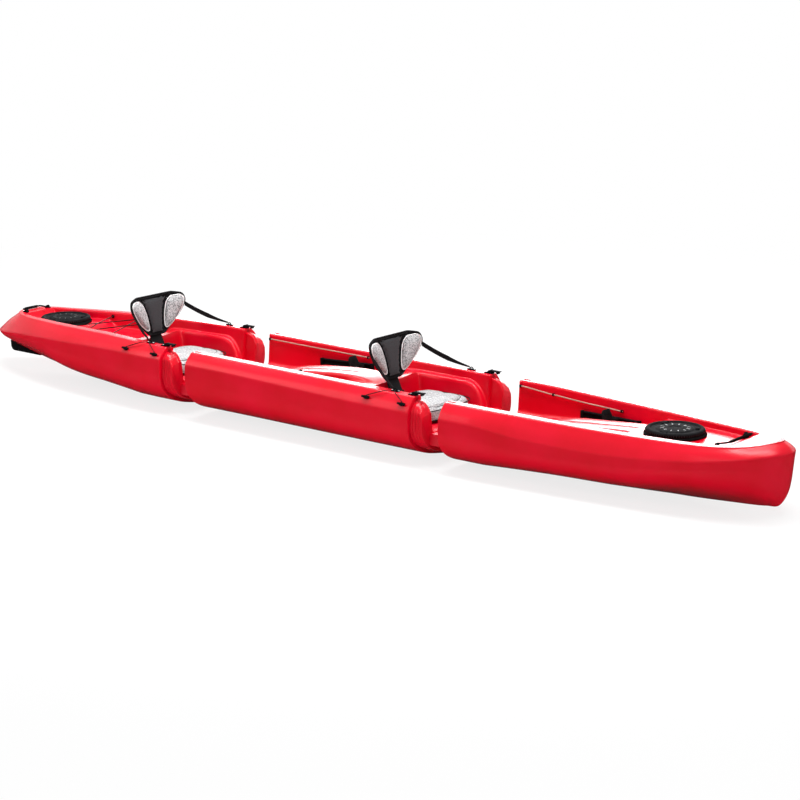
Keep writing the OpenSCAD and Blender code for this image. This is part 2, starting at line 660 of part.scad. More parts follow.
// Screw heads in the feet of the pad eyes and the latch bases
module screw() {
    cylinder(d = 6.4, h = 1.2);
    translate([0, 0, 1.2])
        cylinder(d1 = 6.4, d2 = 4, h = 1);
}
module screws(m) {
    color(steel)
        for (side = [port, stbd]) {
            on_gunwale(m, module_len(m) - pad_eye_back, side)
                for (e = [-1, 1])
                    translate([e * 18.5, 0, eye_rise + .2])
                        screw();
            on_gunwale(m, module_len(m) - latch_back, side)
                translate([-22, 0, latch_foot + .2])
                    screw();
        }
}
module stern_screws() { screws(stern); }
module mid_screws() { screws(mid); }

// Coupling latch: a base with two ears and a pin, and a lever whose toe drops into the next module's pocket
latch_foot = 4;
lever_wide = 17;
lever_thick = 6;
ear_thick = 4;
ear_gap = 0.6;
lever_len = latch_back + pocket_at + 1;
module latch_base() {
    w = lever_wide / 2 + ear_gap + ear_thick;
    translate([-30, -w, 0])
        cube([30 + latch_back - 3, 2 * w, latch_foot]);
    for (e = [-1, 1])
        translate([0, e * (lever_wide / 2 + ear_gap + ear_thick / 2) + ear_thick / 2, 0])
            rotate([90, 0, 0])
                linear_extrude(ear_thick)
                    union() {
                        translate([0, latch_pivot_high])
                            circle(r = 6);
                        polygon([[-13, latch_foot - 1], [10, latch_foot - 1], [6, latch_pivot_high],
                            [-6, latch_pivot_high]]);
                    }
    translate([0, -w - 1, latch_pivot_high])
        rotate([-90, 0, 0])
            cylinder(d = latch_pin, h = 2 * w + 2);
}
module latch_bases(m) {
    color(black)
        for (side = [port, stbd])
            on_gunwale(m, module_len(m) - latch_back, side)
                latch_base();
}
module stern_latch_bases() { latch_bases(stern); }
module mid_latch_bases() { latch_bases(mid); }

module latch_lever(m, side) {
    toe = latch_pivot_high - 1.5;
    color(dark)
        on_gunwale(m, module_len(m) - latch_back, side)
            translate([0, lever_wide / 2, latch_pivot_high])
                rotate([90, 0, 0])
                    linear_extrude(lever_wide)
                        difference() {
                            union() {
                                circle(r = 5.4);
                                polygon([[0, -1], [lever_len - 8, -1], [lever_len - 6, 1 - toe],
                                    [lever_len + 1, 1 - toe],
                                    [lever_len + 4, 3 - toe], [lever_len + 5, 0], [lever_len + 13, 3],
                                        [lever_len + 12, 6],
                                    [lever_len, lever_thick - 1], [0, 5.4]]);
                            }
                            circle(d = latch_pin + 2 * pin_clear);
                        }
}
module stern_latch_port() { latch_lever(stern, port); }
module stern_latch_stbd() { latch_lever(stern, stbd); }
module mid_latch_port() { latch_lever(mid, port); }
module mid_latch_stbd() { latch_lever(mid, stbd); }

// Round tube along a list of points, its ring turned with the path
function unit(v) = v / norm(v);
function way(p, i) = unit(p[min(i + 1, len(p) - 1)] - p[max(i - 1, 0)]);
module tube(p, d, sides = 8) {
    n = len(p);
    function ring(i) =
        let (t = way(p, i), a = unit(cross(t, abs(t[2]) > .9 ? [1, 0, 0] : [0, 0, 1])), b = cross(a, t))
        [for (j = [0:sides - 1]) p[i] + d / 2 * (cos(360 * j / sides) * a + sin(360 * j / sides) * b)];
    polyhedron([for (i = [0:n - 1]) each ring(i)], concat(
        [for (i = [0:n - 2], j = [0:sides - 1])
            let (a = i * sides + j, b = a + sides, c = (i + 1) * sides + (j + 1) % sides,
                e = i * sides + (j + 1) % sides)
            each [[a, c, b], [a, e, c]]],
        [for (j = [1:sides - 2]) [0, j + 1, j]],
        [for (j = [1:sides - 2]) let (z = (n - 1) * sides) [z, z + j, z + j + 1]]));
}
// Rounds the corners of a route by cutting each corner into short steps
function eased(p, r) = [for (i = [0:len(p) - 1])
    each i == 0 || i == len(p) - 1 ? [p[i]]
    : let (a = unit(p[i - 1] - p[i]), b = unit(p[i + 1] - p[i]),
        u = p[i] + min(r, norm(p[i - 1] - p[i]) / 2) * a, v = p[i] + min(r, norm(p[i + 1] - p[i]) / 2) * b)
      [for (t = [0:.25:1]) pow(1 - t, 2) * u + 2 * t * (1 - t) * p[i] + t * t * v]];

// Paddle keepers on the starboard side: two cleats on the lean of the gunwale,
// and a shock cord that runs from cleat to cleat through the pad eye
keeper_at = [250, 44];
keeper_drop = 36;
cord_up = 8;
cleat_foot = 3;
cleat_neck = 4;
cleat_bar = 3.5;
bar_long = 44;
bar_wide = 10;
// Points of the lean at one station: its foot on the crease, its knuckle halfway and its top, as [y, z]
function lean_line(m, r) =
    let (o = outer_half(m, r)) [o[7], o[8], [o[9][0], sheer(m, r)]];
function lean_point(m, r, drop, off) =
    let (l = lean_line(m, r), t = min(1, drop / (l[2][1] - l[0][1])), low = t > .5, a = low ? l[1] : l[2],
        b = low ? l[0] : l[1], p = mix(a, b, low ? 2 * t - 1 : 2 * t), w = unit(b - a))
    [rear_x(m) + r, off * w[1] - p[0], p[1] + off * w[0]];
function lean_angle(m, r) = let (l = lean_line(m, r)) atan2(l[0][0] - l[1][0], l[1][1] - l[0][1]);
function lean_turn(m, r) =
    let (a = lean_point(m, r - 9, keeper_drop, 0), b = lean_point(m, r + 9, keeper_drop,
        0)) atan2(b[1] - a[1], b[0] - a[0]);
// A point above a cleat's foot: u up the lean, w out of it
function cleat_spot(m, k, u, w) =
    let (r = module_len(m) - k, a = lean_angle(m, r))
    lean_point(m, r, keeper_drop, seat_gap) + u * [0, sin(a), cos(a)] + w * [0, -cos(a), sin(a)];
module keeper_cleats(m) {
    color(black)
        for (k = keeper_at)
            translate(cleat_spot(m, k, 0, 0))
                rotate([90 - lean_angle(m, module_len(m) - k), 0, lean_turn(m, module_len(m) - k)]) {
                    for (e = [-1, 1])
                        translate([e * 11, 0, 0])
                            cylinder(d = 14, h = cleat_foot);
                    translate([-11, -7, 0])
                        cube([22, 14, cleat_foot]);
                    translate([0, 0, cleat_foot])
                        cylinder(d1 = 12, d2 = 9, h = cleat_neck);
                    translate([-bar_long / 2, -bar_wide / 2, cleat_foot + cleat_neck])
                        cube([bar_long, bar_wide, cleat_bar]);
                }
}
module stern_keeper_cleats() { keeper_cleats(stern); }
module mid_keeper_cleats() { keeper_cleats(mid); }

module keeper_bungee(m) {
    l = module_len(m);
    d = shock_cord - 1;
    eye = [rear_x(m) + l - pad_eye_back, -gunwale_mid(m, l - pad_eye_back),
        sheer(m, l - pad_eye_back) + eye_rise + 2 * seat_gap + d / 2];
    a = cleat_spot(m, keeper_at[0], cord_up, cleat_foot + seat_gap + d / 2);
    b = cleat_spot(m, keeper_at[1], cord_up, cleat_foot + seat_gap + d / 2);
    over_a = lean_point(m, l - pad_eye_back - 30, 0, 7) + [0, 0, 3];
    over_b = lean_point(m, l - pad_eye_back + 22, 0, 7) + [0, 0, 3];
    color(black)
        tube(eased([a, over_a, eye + [-d * .65, -9, 0], eye + [-d * .65, 6, 0], eye + [d * .65, 6, 0],
            eye + [d * .65, -9, 0], over_b, b], 14), d);
}
module stern_keeper_bungee() { keeper_bungee(stern); }
module mid_keeper_bungee() { keeper_bungee(mid); }

// Tank well: eyelets on the rim walls and one crossed shock cord
tank_eyes = [stern_deck_end + 25, stern_deck_end + 200, hump_at[stern] - 100];
eyelet_drop = 22;
eyelet_off = 1.3;
eyelet_deep = 6;
eyelet_lap = .9;
function eyelet_spot(m, r, drop, off, side) =
    let (w = inside_z(wall_lines, m, r), s = sheer(m, r), yi = inner_y(m, r),
        t = drop / (s - w), y = yi - t * min(10, (s - w) / 8))
    [rear_x(m) + r, side * (y - off), s - drop];
function wall_turn(m, r, drop) =
    let (a = eyelet_spot(m, r - 9, drop, 0, port), b = eyelet_spot(m, r + 9, drop, 0,
        port)) atan2(b[1] - a[1], b[0] - a[0]);
module eyelet() {
    rotate([90, 0, 0])
        rotate_extrude()
            polygon([[shock_cord / 2 + .8, 0], [9, 0], [9, 2.5], [shock_cord / 2 + 3, eyelet_deep],
                [shock_cord / 2 + .8, eyelet_deep]]);
}
module tank_eyelets() {
    color(black)
        for (r = tank_eyes, side = [port, stbd])
            translate(eyelet_spot(stern, r, eyelet_drop, eyelet_off, side))
                mirror([0, side > 0 ? 0 : 1, 0])
                    rotate(wall_turn(stern, r, eyelet_drop))
                        eyelet();
}
module tank_bungee() {
    off = eyelet_off + eyelet_deep + shock_cord / 2 - eyelet_lap;
    a = [for (r = tank_eyes) eyelet_spot(stern, r, eyelet_drop, off, port)];
    b = [for (r = tank_eyes) eyelet_spot(stern, r, eyelet_drop, off, stbd)];
    up = [0, 0, 5];
    color(black) {
        tube(eased([b[0], a[1], b[2]], 3), shock_cord);
        tube([a[0], mix(a[0], b[1], .5) + up, b[1], mix(b[1], a[2], .5) + up, a[2]], shock_cord);
    }
}

// Foot braces: a rail on each wall and a pedal that slides along it
rail_from = [0, foot_end - rail_len - 64, bow_foot_end - rail_len - 22.5];
rail_gap = 1.9;
rail_end_gap = 14;
rail_z = [[0, 0], [231, 247], [211, 216]];
function wall_y(m, r, z) =
    let (w = inside_z(wall_lines, m, r), s = sheer(m, r), yi = inner_y(m, r))
    yi - min(10, (s - w) / 8) * (1 - (z - w) / (s - w));
function rail_start(m) = [rear_x(m) + rail_from[m], wall_y(m, rail_from[m], rail_z[m][0]) - rail_gap,
    rail_z[m][0]];
function rail_stop(m) =
    let (r = rail_from[m] + rail_len) [rear_x(m) + r, wall_y(m, r, rail_z[m][1]) - rail_gap,
        rail_z[m][1]];
function rail_way(m) = unit(rail_stop(m) - rail_start(m));
// Children stand with X along the rail, Y out of the wall into the boat, Z across the rail
module on_rail(m, side) {
    v = rail_stop(m) - rail_start(m);
    mirror([0, side > 0 ? 0 : 1, 0])
        translate(rail_start(m))
            rotate([0, -asin(v[2] / norm(v)), atan2(v[1], v[0])])
                mirror([0, 1, 0])
                    children();
}
lip = 4;
slot = 8;
module rail() {
    h = rail_high / 2;
    rotate([90, 0, 90])
        linear_extrude(rail_len)
            polygon([[0, -h], [rail_deep, -h + 2], [rail_deep, -h + 8], [rail_deep - lip, -h + 8],
                [rail_deep - lip, -h + 4],
                [lip, -h + 4], [lip, h - 4], [rail_deep - lip, h - 4], [rail_deep - lip, h - 8],
                    [rail_deep, h - 8],
                [rail_deep, h - 2], [0, h]]);
    for (x = [0, rail_len - rail_end_gap])
        translate([x, 0, -h - 2])
            cube([rail_end_gap, rail_deep + 3, rail_high + 4]);
}
module rails(m) {
    color(black)
        for (side = [port, stbd])
            on_rail(m, side)
                rail();
}
module mid_rails() { rails(mid); }
module bow_rails() { rails(bow); }

pedal_spot = [0, 262, 196];
pedal_long = 30;
pedal_wide = 70;
pedal_tall = 66;
module pedal(m, side) {
    h = rail_high / 2;
    g = pedal_clear;
    color(dark)
        on_rail(m, side)
            translate([pedal_spot[m], 0, 0]) {
                translate([-pedal_long / 2, lip + g, -h + 4 + g])
                    cube([pedal_long, rail_deep - 2 * lip - 2 * g, rail_high - 8 - 2 * g]);
                translate([-pedal_long / 2, lip + g, -h + 8 + g])
                    cube([pedal_long, rail_deep - lip + 4, rail_high - 16 - 2 * g]);
                translate([pedal_long / 2, rail_deep + g + 1, -h])
                    rotate([0, -90, 0])
                        linear_extrude(pedal_long)
                            polygon([[4, 0], [rail_high - 4, 0], [rail_high - 4, 8], [4, 8]]);
                translate([-pedal_long / 2, rail_deep + g + 2, -h + 3])
                    rotate([0, -12, 0])
                        rotate([90, 0, 90])
                            linear_extrude(7)
                                polygon([[0, 0], [pedal_wide - 12, 0], [pedal_wide, 14],
                                    [pedal_wide - 4, pedal_tall - 12],
                                    [pedal_wide - 16, pedal_tall], [14, pedal_tall], [0, rail_high]]);
            }
}
module mid_pedal_port() { pedal(mid, port); }
module mid_pedal_stbd() { pedal(mid, stbd); }
module bow_pedal_port() { pedal(bow, port); }
module bow_pedal_stbd() { pedal(bow, stbd); }

// Adjuster cords along the cockpit walls, held by eyelets
cord_off = 2.4;
eye_off = 1;
cord_stops = [[], [[10, 24], [230, 25], [450, 25], [650, 25]], [[10, 24], [203, 36], [400, 40], [590, 41]]];
module wall_cords(m) {
    color(cord_tint)
        for (side = [port, stbd])
            tube([for (c = cord_stops[m]) each [for (d = c[0] == cord_stops[m][0][0] ? [0, 30] : [-30, 0])
                eyelet_spot(m, c[0] + d, c[1], wall_cord / 2 + cord_off, side)]], wall_cord);
}
module mid_cords() { wall_cords(mid); }
module bow_cords() { wall_cords(bow); }

module cord_eye() {
    rotate([90, 0, 0])
        cylinder(d = wall_cord + 6, h = 1);
    for (z = [-1, 1])
        translate([-4, -wall_cord - 3.5, z * (wall_cord / 2 + 1.6) - 1.2])
            cube([8, wall_cord + 3, 2.4]);
    translate([-4, -wall_cord - 4.5, -wall_cord / 2 - 2.8])
        cube([8, 2, wall_cord + 5.6]);
}
module cord_eyes(m) {
    last = len(cord_stops[m]) - 1;
    color(black)
        for (side = [port, stbd], k = m == bow ? [0, 1, last] : [0, last])
            translate(eyelet_spot(m, cord_stops[m][k][0] + (k == 0 ? 4 : -4), cord_stops[m][k][1], eye_off,
                side))
                mirror([0, side > 0 ? 0 : 1, 0])
                    rotate(wall_turn(m, cord_stops[m][k][0], cord_stops[m][k][1]))
                        cord_eye();
}
module mid_cord_eyes() { cord_eyes(mid); }
module bow_cord_eyes() { cord_eyes(bow); }

// Seat cushion: drawn-in sides, a crowned top and a sewn channel that follows its edge
cushion_low = seat_floor + 9.5;
cushion_rings = [[.93, 0], [.985, .2], [1, .5], [.985, .82], [.94, 1], [.86, 1.12], [.79, 1.04],
    [.7, 1.22], [.45, 1.34], [.2, 1.38]];
function bulge(a) = 1 / pow(pow(abs(cos(a)), 4) + pow(abs(sin(a)), 4), .25);
module cushion(m) {
    n = 40;
    k = len(cushion_rings);
    mid_x = shoulder_x(m) - 24 - cushion_len / 2;
    function spot(q, a) =
        let (s = q[0], t = q[1], up = t > 1 ? cushion_thick + (t - 1) / .38 * cushion_crown
            : t * cushion_thick,
            pull = 1 - .018 * pow(sin(2 * a), 2) * (s > .9 ? 0 : 1))
        [mid_x + s * pull * cushion_len / 2 * bulge(a) * cos(a),
            s * pull * cushion_wide / 2 * bulge(a) * sin(a),
            cushion_low + up];
    color(light)
        polyhedron(concat([for (q = cushion_rings, j = [0:n - 1]) spot(q, 360 * j / n)],
            [[mid_x, 0, cushion_low], [mid_x, 0, cushion_low + cushion_thick + cushion_crown]]), concat(
            [for (i = [0:k - 2], j = [0:n - 1])
                let (a = i * n + j, b = a + n, c = (i + 1) * n + (j + 1) % n, d = i * n + (j + 1) % n)
                each [[a, b, c], [a, c, d]]],
            [for (j = [0:n - 1]) [k * n, j, (j + 1) % n]],
            [for (j = [0:n - 1]) [k * n + 1, (k - 1) * n + (j + 1) % n, (k - 1) * n + j]]));
}
module rear_cushion() { cushion(stern); }
module front_cushion() { cushion(mid); }

// Seat back: every layer is a loft up the back, across Y, wrapped forward at the sides
// Half widths against the height over the hinge, as shares of the back's own width and height
back_line = [[.27, .26], [.36, .42], [.5, .67], [.68, .9], [.82, 1], [.93, .95], [1, .62]];
panel_line = [[.29, .2], [.5, .24], [.72, .31], [.9, .41], [.965, .46]];
pad_in = [[.36, .32], [.42, .29], [.55, .31], [.72, .37], [.86, .47], [.93, .6]];
pad_out = [[.36, .36], [.42, .5], [.55, .72], [.72, .9], [.86, .95], [.93, .82]];
function wrap(y) = back_wrap * pow(abs(y) / (back_wide / 2), 2);
function back_spot(m, u, y, w) =
    [shoulder_x(m) - seat_hinge_back - u * sin(seat_recline) + w * cos(seat_recline), y,
        seat_hinge_high + u * cos(seat_recline) + w * sin(seat_recline)];
// A layer between two edge lines, its front crowned between thin edges
module back_layer(m, inner, outer, from, to, base, edge, crown, rows, side) {
    n = 8;
    function row(i) =
        let (t = mix(from, to, i / rows), a = along(inner, t) * back_wide / 2,
            b = along(outer, t) * back_wide / 2, lo = side == 0 ? -b : a,
            fade = min(1, 6 * (i + .35) / rows, 6 * (rows - i + .35) / rows))
        concat(
            [for (j = [0:n]) let (y = mix(lo, b, j / n) * (side == 0 ? 1 : side),
                f = 1 - pow(abs(2 * j / n - 1), 2.4))
                back_spot(m, t * back_high, y, wrap(y) + base + edge + crown * f * fade)],
            [for (j = [n:-1:0]) let (y = mix(lo, b, j / n) * (side == 0 ? 1 : side)) back_spot(m,
                t * back_high, y, wrap(y) + base)]);
    c = 2 * n + 2;
    sides = [for (i = [0:rows - 1], j = [0:c - 1])
        let (p = i * c + j, q = i * c + (j + 1) % c) each [[p, p + c, q + c], [p, q + c, q]]];
    low = [for (j = [0:n - 1]) each [[j, j + 1, c - 2 - j], [j, c - 2 - j, c - 1 - j]]];
    high = [for (f = low) [f[2] + rows * c, f[1] + rows * c, f[0] + rows * c]];
    faces = concat(sides, low, high);
    polyhedron([for (i = [0:rows]) each row(i)], side < 0 ? flip(faces) : faces);
}
none = [[0, 0], [1, 0]];
layer_gap = 1.2;
module back_frame(m) {
    color(black)
        back_layer(m, none, back_line, .27, 1, -back_thick, back_thick - 3, 3, 14, 0);
}
module rear_back_frame() { back_frame(stern); }
module front_back_frame() { back_frame(mid); }

module back_panel(m) {
    color(dark)
        back_layer(m, none, panel_line, .29, .965, layer_gap, 4, 8, 12, 0);
}
module rear_back_panel() { back_panel(stern); }
module front_back_panel() { back_panel(mid); }

module back_pad(m, side) {
    color(light)
        back_layer(m, pad_in, pad_out, .36, .93, layer_gap, 4, 15, 12, side);
}
module rear_pad_port() { back_pad(stern, port); }
module rear_pad_stbd() { back_pad(stern, stbd); }
module front_pad_port() { back_pad(mid, port); }
module front_pad_stbd() { back_pad(mid, stbd); }

// Stem that carries the seat back on its hinge rod, and the hinge saddle behind the cushion
stem_wide = 76;
hinge_rod = 10;
module back_stem(m) {
    color(black)
        translate([shoulder_x(m) - seat_hinge_back, stem_wide / 2, seat_hinge_high])
            rotate([0, -seat_recline, 0])
                rotate([90, 0, 0])
                    linear_extrude(stem_wide)
                        difference() {
                            union() {
                                circle(d = hinge_rod + 8);
                                polygon([[-9, 0], [9, 0], [-back_thick - seat_gap, .255 * back_high],
                                    [-back_thick - seat_gap, .42 * back_high],
                                        [-back_thick - 7, .42 * back_high],
                                    [-back_thick - 6, .2 * back_high]]);
                            }
                            circle(d = hinge_rod + 2 * pin_clear);
                        }
}
module rear_back_stem() { back_stem(stern); }
module front_back_stem() { back_stem(mid); }

saddle_ear = 9;
module seat_saddle(m) {
    x = shoulder_x(m) - seat_hinge_back;
    low = inside_z(floor_lines, m, module_len(m) - seat_hinge_back - 4) + seat_gap;
    color(black) {
        for (e = [-1, 1])
            translate([x, e * (stem_wide / 2 + 1 + saddle_ear / 2) + saddle_ear / 2, 0])
                rotate([90, 0, 0])
                    linear_extrude(saddle_ear)
                        union() {
                            translate([0, seat_hinge_high])
                                circle(d = hinge_rod + 6);
                            polygon([[-4, low], [4, low], [4 + hinge_rod / 2, seat_hinge_high],
                                [-4 - hinge_rod / 2, seat_hinge_high]]);
                        }
        translate([x - 4, -stem_wide / 2 - 12, low])
            cube([8, stem_wide + 24, 10]);
        translate([x, -stem_wide / 2 - saddle_ear - 2, seat_hinge_high])
            rotate([-90, 0, 0])
                cylinder(d = hinge_rod, h = stem_wide + 2 * saddle_ear + 4);
    }
}
module rear_seat_saddle() { seat_saddle(stern); }
module front_seat_saddle() { seat_saddle(mid); }

// Side straps from the back's edges to the pad eyes, narrowing to the hook
strap_thick = 2.4;
strap_high = .74;
module strap(m, side) {
    eye_r = module_len(m) - pad_eye_back;
    a = back_spot(m, strap_high * back_high, side * (back_wide / 2 * along(back_line, strap_high) + 2),
        wrap(back_wide / 2) - 3);
    b = [rear_x(m) + eye_r - eye_radius - 1.5, side * gunwale_mid(m, eye_r),
        sheer(m, eye_r) + eye_rise + eye_radius];
    n = 8;
    function ring(i) =
        let (t = i / n, c = mix(a, b, t) - [0, 0, 10 * 4 * t * (1 - t)],
            h = mix(strap_wide, 7, pow(max(0, (t - .55) / .45), .8)) / 2,
            v = unit([b[0] - a[0], b[1] - a[1], 0]), o = [-v[1], v[0], 0] * strap_thick / 2)
        [c + o - [0, 0, h], c + o + [0, 0, h], c - o + [0, 0, h], c - o - [0, 0, h]];
    color(black)
        polyhedron([for (i = [0:n]) each ring(i)], concat(
            [for (i = [0:n - 1], j = [0:3]) let (p = i * 4 + j,
                q = i * 4 + (j + 1) % 4) each [[p, q + 4, p + 4], [p, q, q + 4]]],
            [[0, 2, 1], [0, 3, 2], [n * 4, n * 4 + 1, n * 4 + 2], [n * 4, n * 4 + 2, n * 4 + 3]]));
}
module rear_strap_port() { strap(stern, port); }
module rear_strap_stbd() { strap(stern, stbd); }
module front_strap_port() { strap(mid, port); }
module front_strap_stbd() { strap(mid, stbd); }

stern_hull();
mid_hull();
bow_hull();
skeg();
stern_hatch_rim();
stern_hatch_lid();
stern_lid_grip();
bow_hatch_rim();
bow_hatch_lid();
bow_lid_grip();
stern_handle_lugs();
stern_handle_rod();
stern_handle_grip();
bow_handle_lugs();
bow_handle_rod();
bow_handle_grip();
stern_pad_eyes();
mid_pad_eyes();
stern_screws();
mid_screws();
stern_latch_bases();
mid_latch_bases();
stern_latch_port();
stern_latch_stbd();
mid_latch_port();
mid_latch_stbd();
stern_keeper_cleats();
mid_keeper_cleats();
stern_keeper_bungee();
mid_keeper_bungee();
tank_eyelets();
tank_bungee();
mid_rails();
bow_rails();
mid_pedal_port();
mid_pedal_stbd();
bow_pedal_port();
bow_pedal_stbd();
mid_cords();
bow_cords();
mid_cord_eyes();
bow_cord_eyes();
rear_cushion();
front_cushion();
rear_back_frame();
front_back_frame();
rear_back_panel();
front_back_panel();
rear_pad_port();
rear_pad_stbd();
front_pad_port();
front_pad_stbd();
rear_back_stem();
front_back_stem();
rear_seat_saddle();
front_seat_saddle();
rear_strap_port();
rear_strap_stbd();
front_strap_port();
front_strap_stbd();
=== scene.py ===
import math
import bmesh
import bpy
from mathutils import Matrix, Vector
from mathutils.bvhtree import BVHTree
from mathutils.kdtree import KDTree


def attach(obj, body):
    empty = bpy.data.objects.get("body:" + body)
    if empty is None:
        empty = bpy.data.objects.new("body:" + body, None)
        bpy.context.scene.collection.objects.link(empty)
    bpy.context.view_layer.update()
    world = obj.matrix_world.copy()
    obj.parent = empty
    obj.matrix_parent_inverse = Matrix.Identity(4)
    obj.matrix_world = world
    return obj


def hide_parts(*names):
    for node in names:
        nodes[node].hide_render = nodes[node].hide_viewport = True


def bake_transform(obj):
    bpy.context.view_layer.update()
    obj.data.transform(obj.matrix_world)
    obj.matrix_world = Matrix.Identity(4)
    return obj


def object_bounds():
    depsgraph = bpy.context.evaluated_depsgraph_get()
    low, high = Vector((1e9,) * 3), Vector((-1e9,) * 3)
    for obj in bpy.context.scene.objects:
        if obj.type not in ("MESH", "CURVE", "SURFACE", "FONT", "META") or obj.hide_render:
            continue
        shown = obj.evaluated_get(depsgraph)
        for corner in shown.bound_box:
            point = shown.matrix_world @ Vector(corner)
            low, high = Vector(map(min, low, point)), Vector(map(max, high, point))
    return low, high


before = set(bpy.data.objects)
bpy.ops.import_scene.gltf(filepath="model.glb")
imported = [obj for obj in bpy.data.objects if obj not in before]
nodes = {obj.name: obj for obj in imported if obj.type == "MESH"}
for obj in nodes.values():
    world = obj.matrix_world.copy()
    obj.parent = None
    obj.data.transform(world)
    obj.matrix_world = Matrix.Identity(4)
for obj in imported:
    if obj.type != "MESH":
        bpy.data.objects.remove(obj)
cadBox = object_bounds()
scene = bpy.context.scene
mm = 0.001
print("frame loaded,", len(nodes), "solids")

# camera at the photo's place: three-quarter view on the starboard bow
camera = {"place": (6.891, -8.058, 2.689), "offBeam": 39.119, "down": 13.557, "focal": 2315.16, "frame": 800,
          "sensor": 36}


def addCamera():
    eye = bpy.data.cameras.new("camera")
    eye.sensor_width = camera["sensor"]
    eye.lens = camera["focal"] / camera["frame"] * camera["sensor"]
    eye.clip_end = 80
    obj = bpy.data.objects.new("camera", eye)
    side, dip = math.radians(camera["offBeam"]), math.radians(camera["down"])
    look = Vector((-math.sin(side) * math.cos(dip), math.cos(side) * math.cos(dip), -math.sin(dip)))
    obj.location = camera["place"]
    obj.rotation_euler = look.to_track_quat("-Z", "Y").to_euler()
    scene.collection.objects.link(obj)
    scene.camera = obj


addCamera()


# one node with its settings and inputs; an input is a value or another node's output
def treeNode(tree, kind, settings=None, inputs=None):
    node = tree.nodes.new(kind)
    for key, value in (settings or {}).items():
        setattr(node, key, value)
    for key, value in (inputs or {}).items():
        if isinstance(value, bpy.types.NodeSocket):
            tree.links.new(value, node.inputs[key])
        else:
            node.inputs[key].default_value = value
    return node


def addNode(mat, kind, settings=None, inputs=None):
    return treeNode(mat.node_tree, kind, settings, inputs)


def addMath(mat, operation, *values):
    return addNode(mat, "ShaderNodeMath", {"operation": operation}, dict(enumerate(values))).outputs["Value"]


def addRamp(mat, fac, stops):
    ramp = addNode(mat, "ShaderNodeValToRGB", inputs={"Fac": fac})
    while len(ramp.color_ramp.elements) < len(stops):
        ramp.color_ramp.elements.new(0.5)
    for element, (at, tint) in zip(ramp.color_ramp.elements, stops):
        element.position = at
        element.color = (*tint, 1)
    return ramp.outputs["Color"]


def addSpan(mat, fac, low, high):
    span = addNode(mat, "ShaderNodeMapRange", inputs={"Value": fac, "To Min": low, "To Max": high})
    return span.outputs["Result"]


def addBump(mat, height, strength, depth, under=None):
    inputs = {"Height": height, "Strength": strength, "Distance": depth}
    if under:
        inputs["Normal"] = under
    return addNode(mat, "ShaderNodeBump", inputs=inputs).outputs["Normal"]


def newFinish(name, sockets):
    mat = bpy.data.materials.new(name)
    mat.use_nodes = True
    bsdf = mat.node_tree.nodes["Principled BSDF"]
    for key, value in sockets.items():
        bsdf.inputs[key].default_value = value
    place = addNode(mat, "ShaderNodeTexCoord").outputs["Object"]
    return mat, bsdf, place


def plug(mat, socket, target):
    mat.node_tree.links.new(socket, target)


def addNoise(mat, place, scale, detail=3.0, rough=0.55):
    node = addNode(mat, "ShaderNodeTexNoise",
                   inputs={"Vector": place, "Scale": scale, "Detail": detail, "Roughness": rough})
    return node.outputs["Fac"]


# the roughness stays under 0.27: where it crosses that, the render shows light specks
redLook = {"deep": (0.52, 0.0006, 0.009), "fresh": (0.6, 0.001, 0.017), "worn": (0.63, 0.05, 0.065),
           "rough": (0.22, 0.268)}


def redPlastic():
    mat, bsdf, place = newFinish("redPlastic", {"IOR": 1.5, "Specular IOR Level": 0.2})
    cloud = addNoise(mat, place, 5, 4)
    tint = addRamp(mat, cloud, [(0.3, redLook["deep"]), (0.72, redLook["fresh"])])
    edge = addNode(mat, "ShaderNodeNewGeometry").outputs["Pointiness"]
    rub = addRamp(mat, edge, [(0.53, (0, 0, 0)), (0.6, (0.35, 0.35, 0.35))])
    mixed = addNode(mat, "ShaderNodeMix", {"data_type": "RGBA"},
                    {"Factor": rub, "A": tint, "B": (*redLook["worn"], 1)})
    plug(mat, mixed.outputs["Result"], bsdf.inputs["Base Color"])
    plug(mat, addSpan(mat, addNoise(mat, place, 38, 5), *redLook["rough"]), bsdf.inputs["Roughness"])
    peel = addBump(mat, addNoise(mat, place, 420, 2), 0.10, 0.0006)
    wave = addBump(mat, addNoise(mat, place, 9, 1), 0.10, 0.006, peel)
    plug(mat, wave, bsdf.inputs["Normal"])
    return mat


def mouldedPlastic(name, low, high, roughness, grain, shine=0.004):
    mat, bsdf, place = newFinish(name, {"IOR": 1.48, "Specular IOR Level": shine})
    cloud = addNoise(mat, place, 60, 5)
    plug(mat, addRamp(mat, cloud, [(0.3, low), (0.7, high)]), bsdf.inputs["Base Color"])
    plug(mat, addSpan(mat, addNoise(mat, place, 140, 4), roughness - 0.07, roughness + 0.09),
         bsdf.inputs["Roughness"])
    cell = addNode(mat, "ShaderNodeTexVoronoi", inputs={"Vector": place, "Scale": grain})
    plug(mat, addBump(mat, cell.outputs["Distance"], 0.22, 0.0003), bsdf.inputs["Normal"])
    return mat


def brushedSteel():
    mat, bsdf, place = newFinish("brushedSteel", {"Metallic": 1.0})
    turn = addNode(mat, "ShaderNodeMapping", inputs={"Vector": place, "Scale": (900, 60, 60)})
    streak = addNoise(mat, turn.outputs["Vector"], 6, 2)
    plug(mat, addRamp(mat, streak, [(0.3, (0.5, 0.5, 0.52)), (0.7, (0.74, 0.74, 0.75))]),
         bsdf.inputs["Base Color"])
    plug(mat, addSpan(mat, streak, 0.22, 0.42), bsdf.inputs["Roughness"])
    return mat


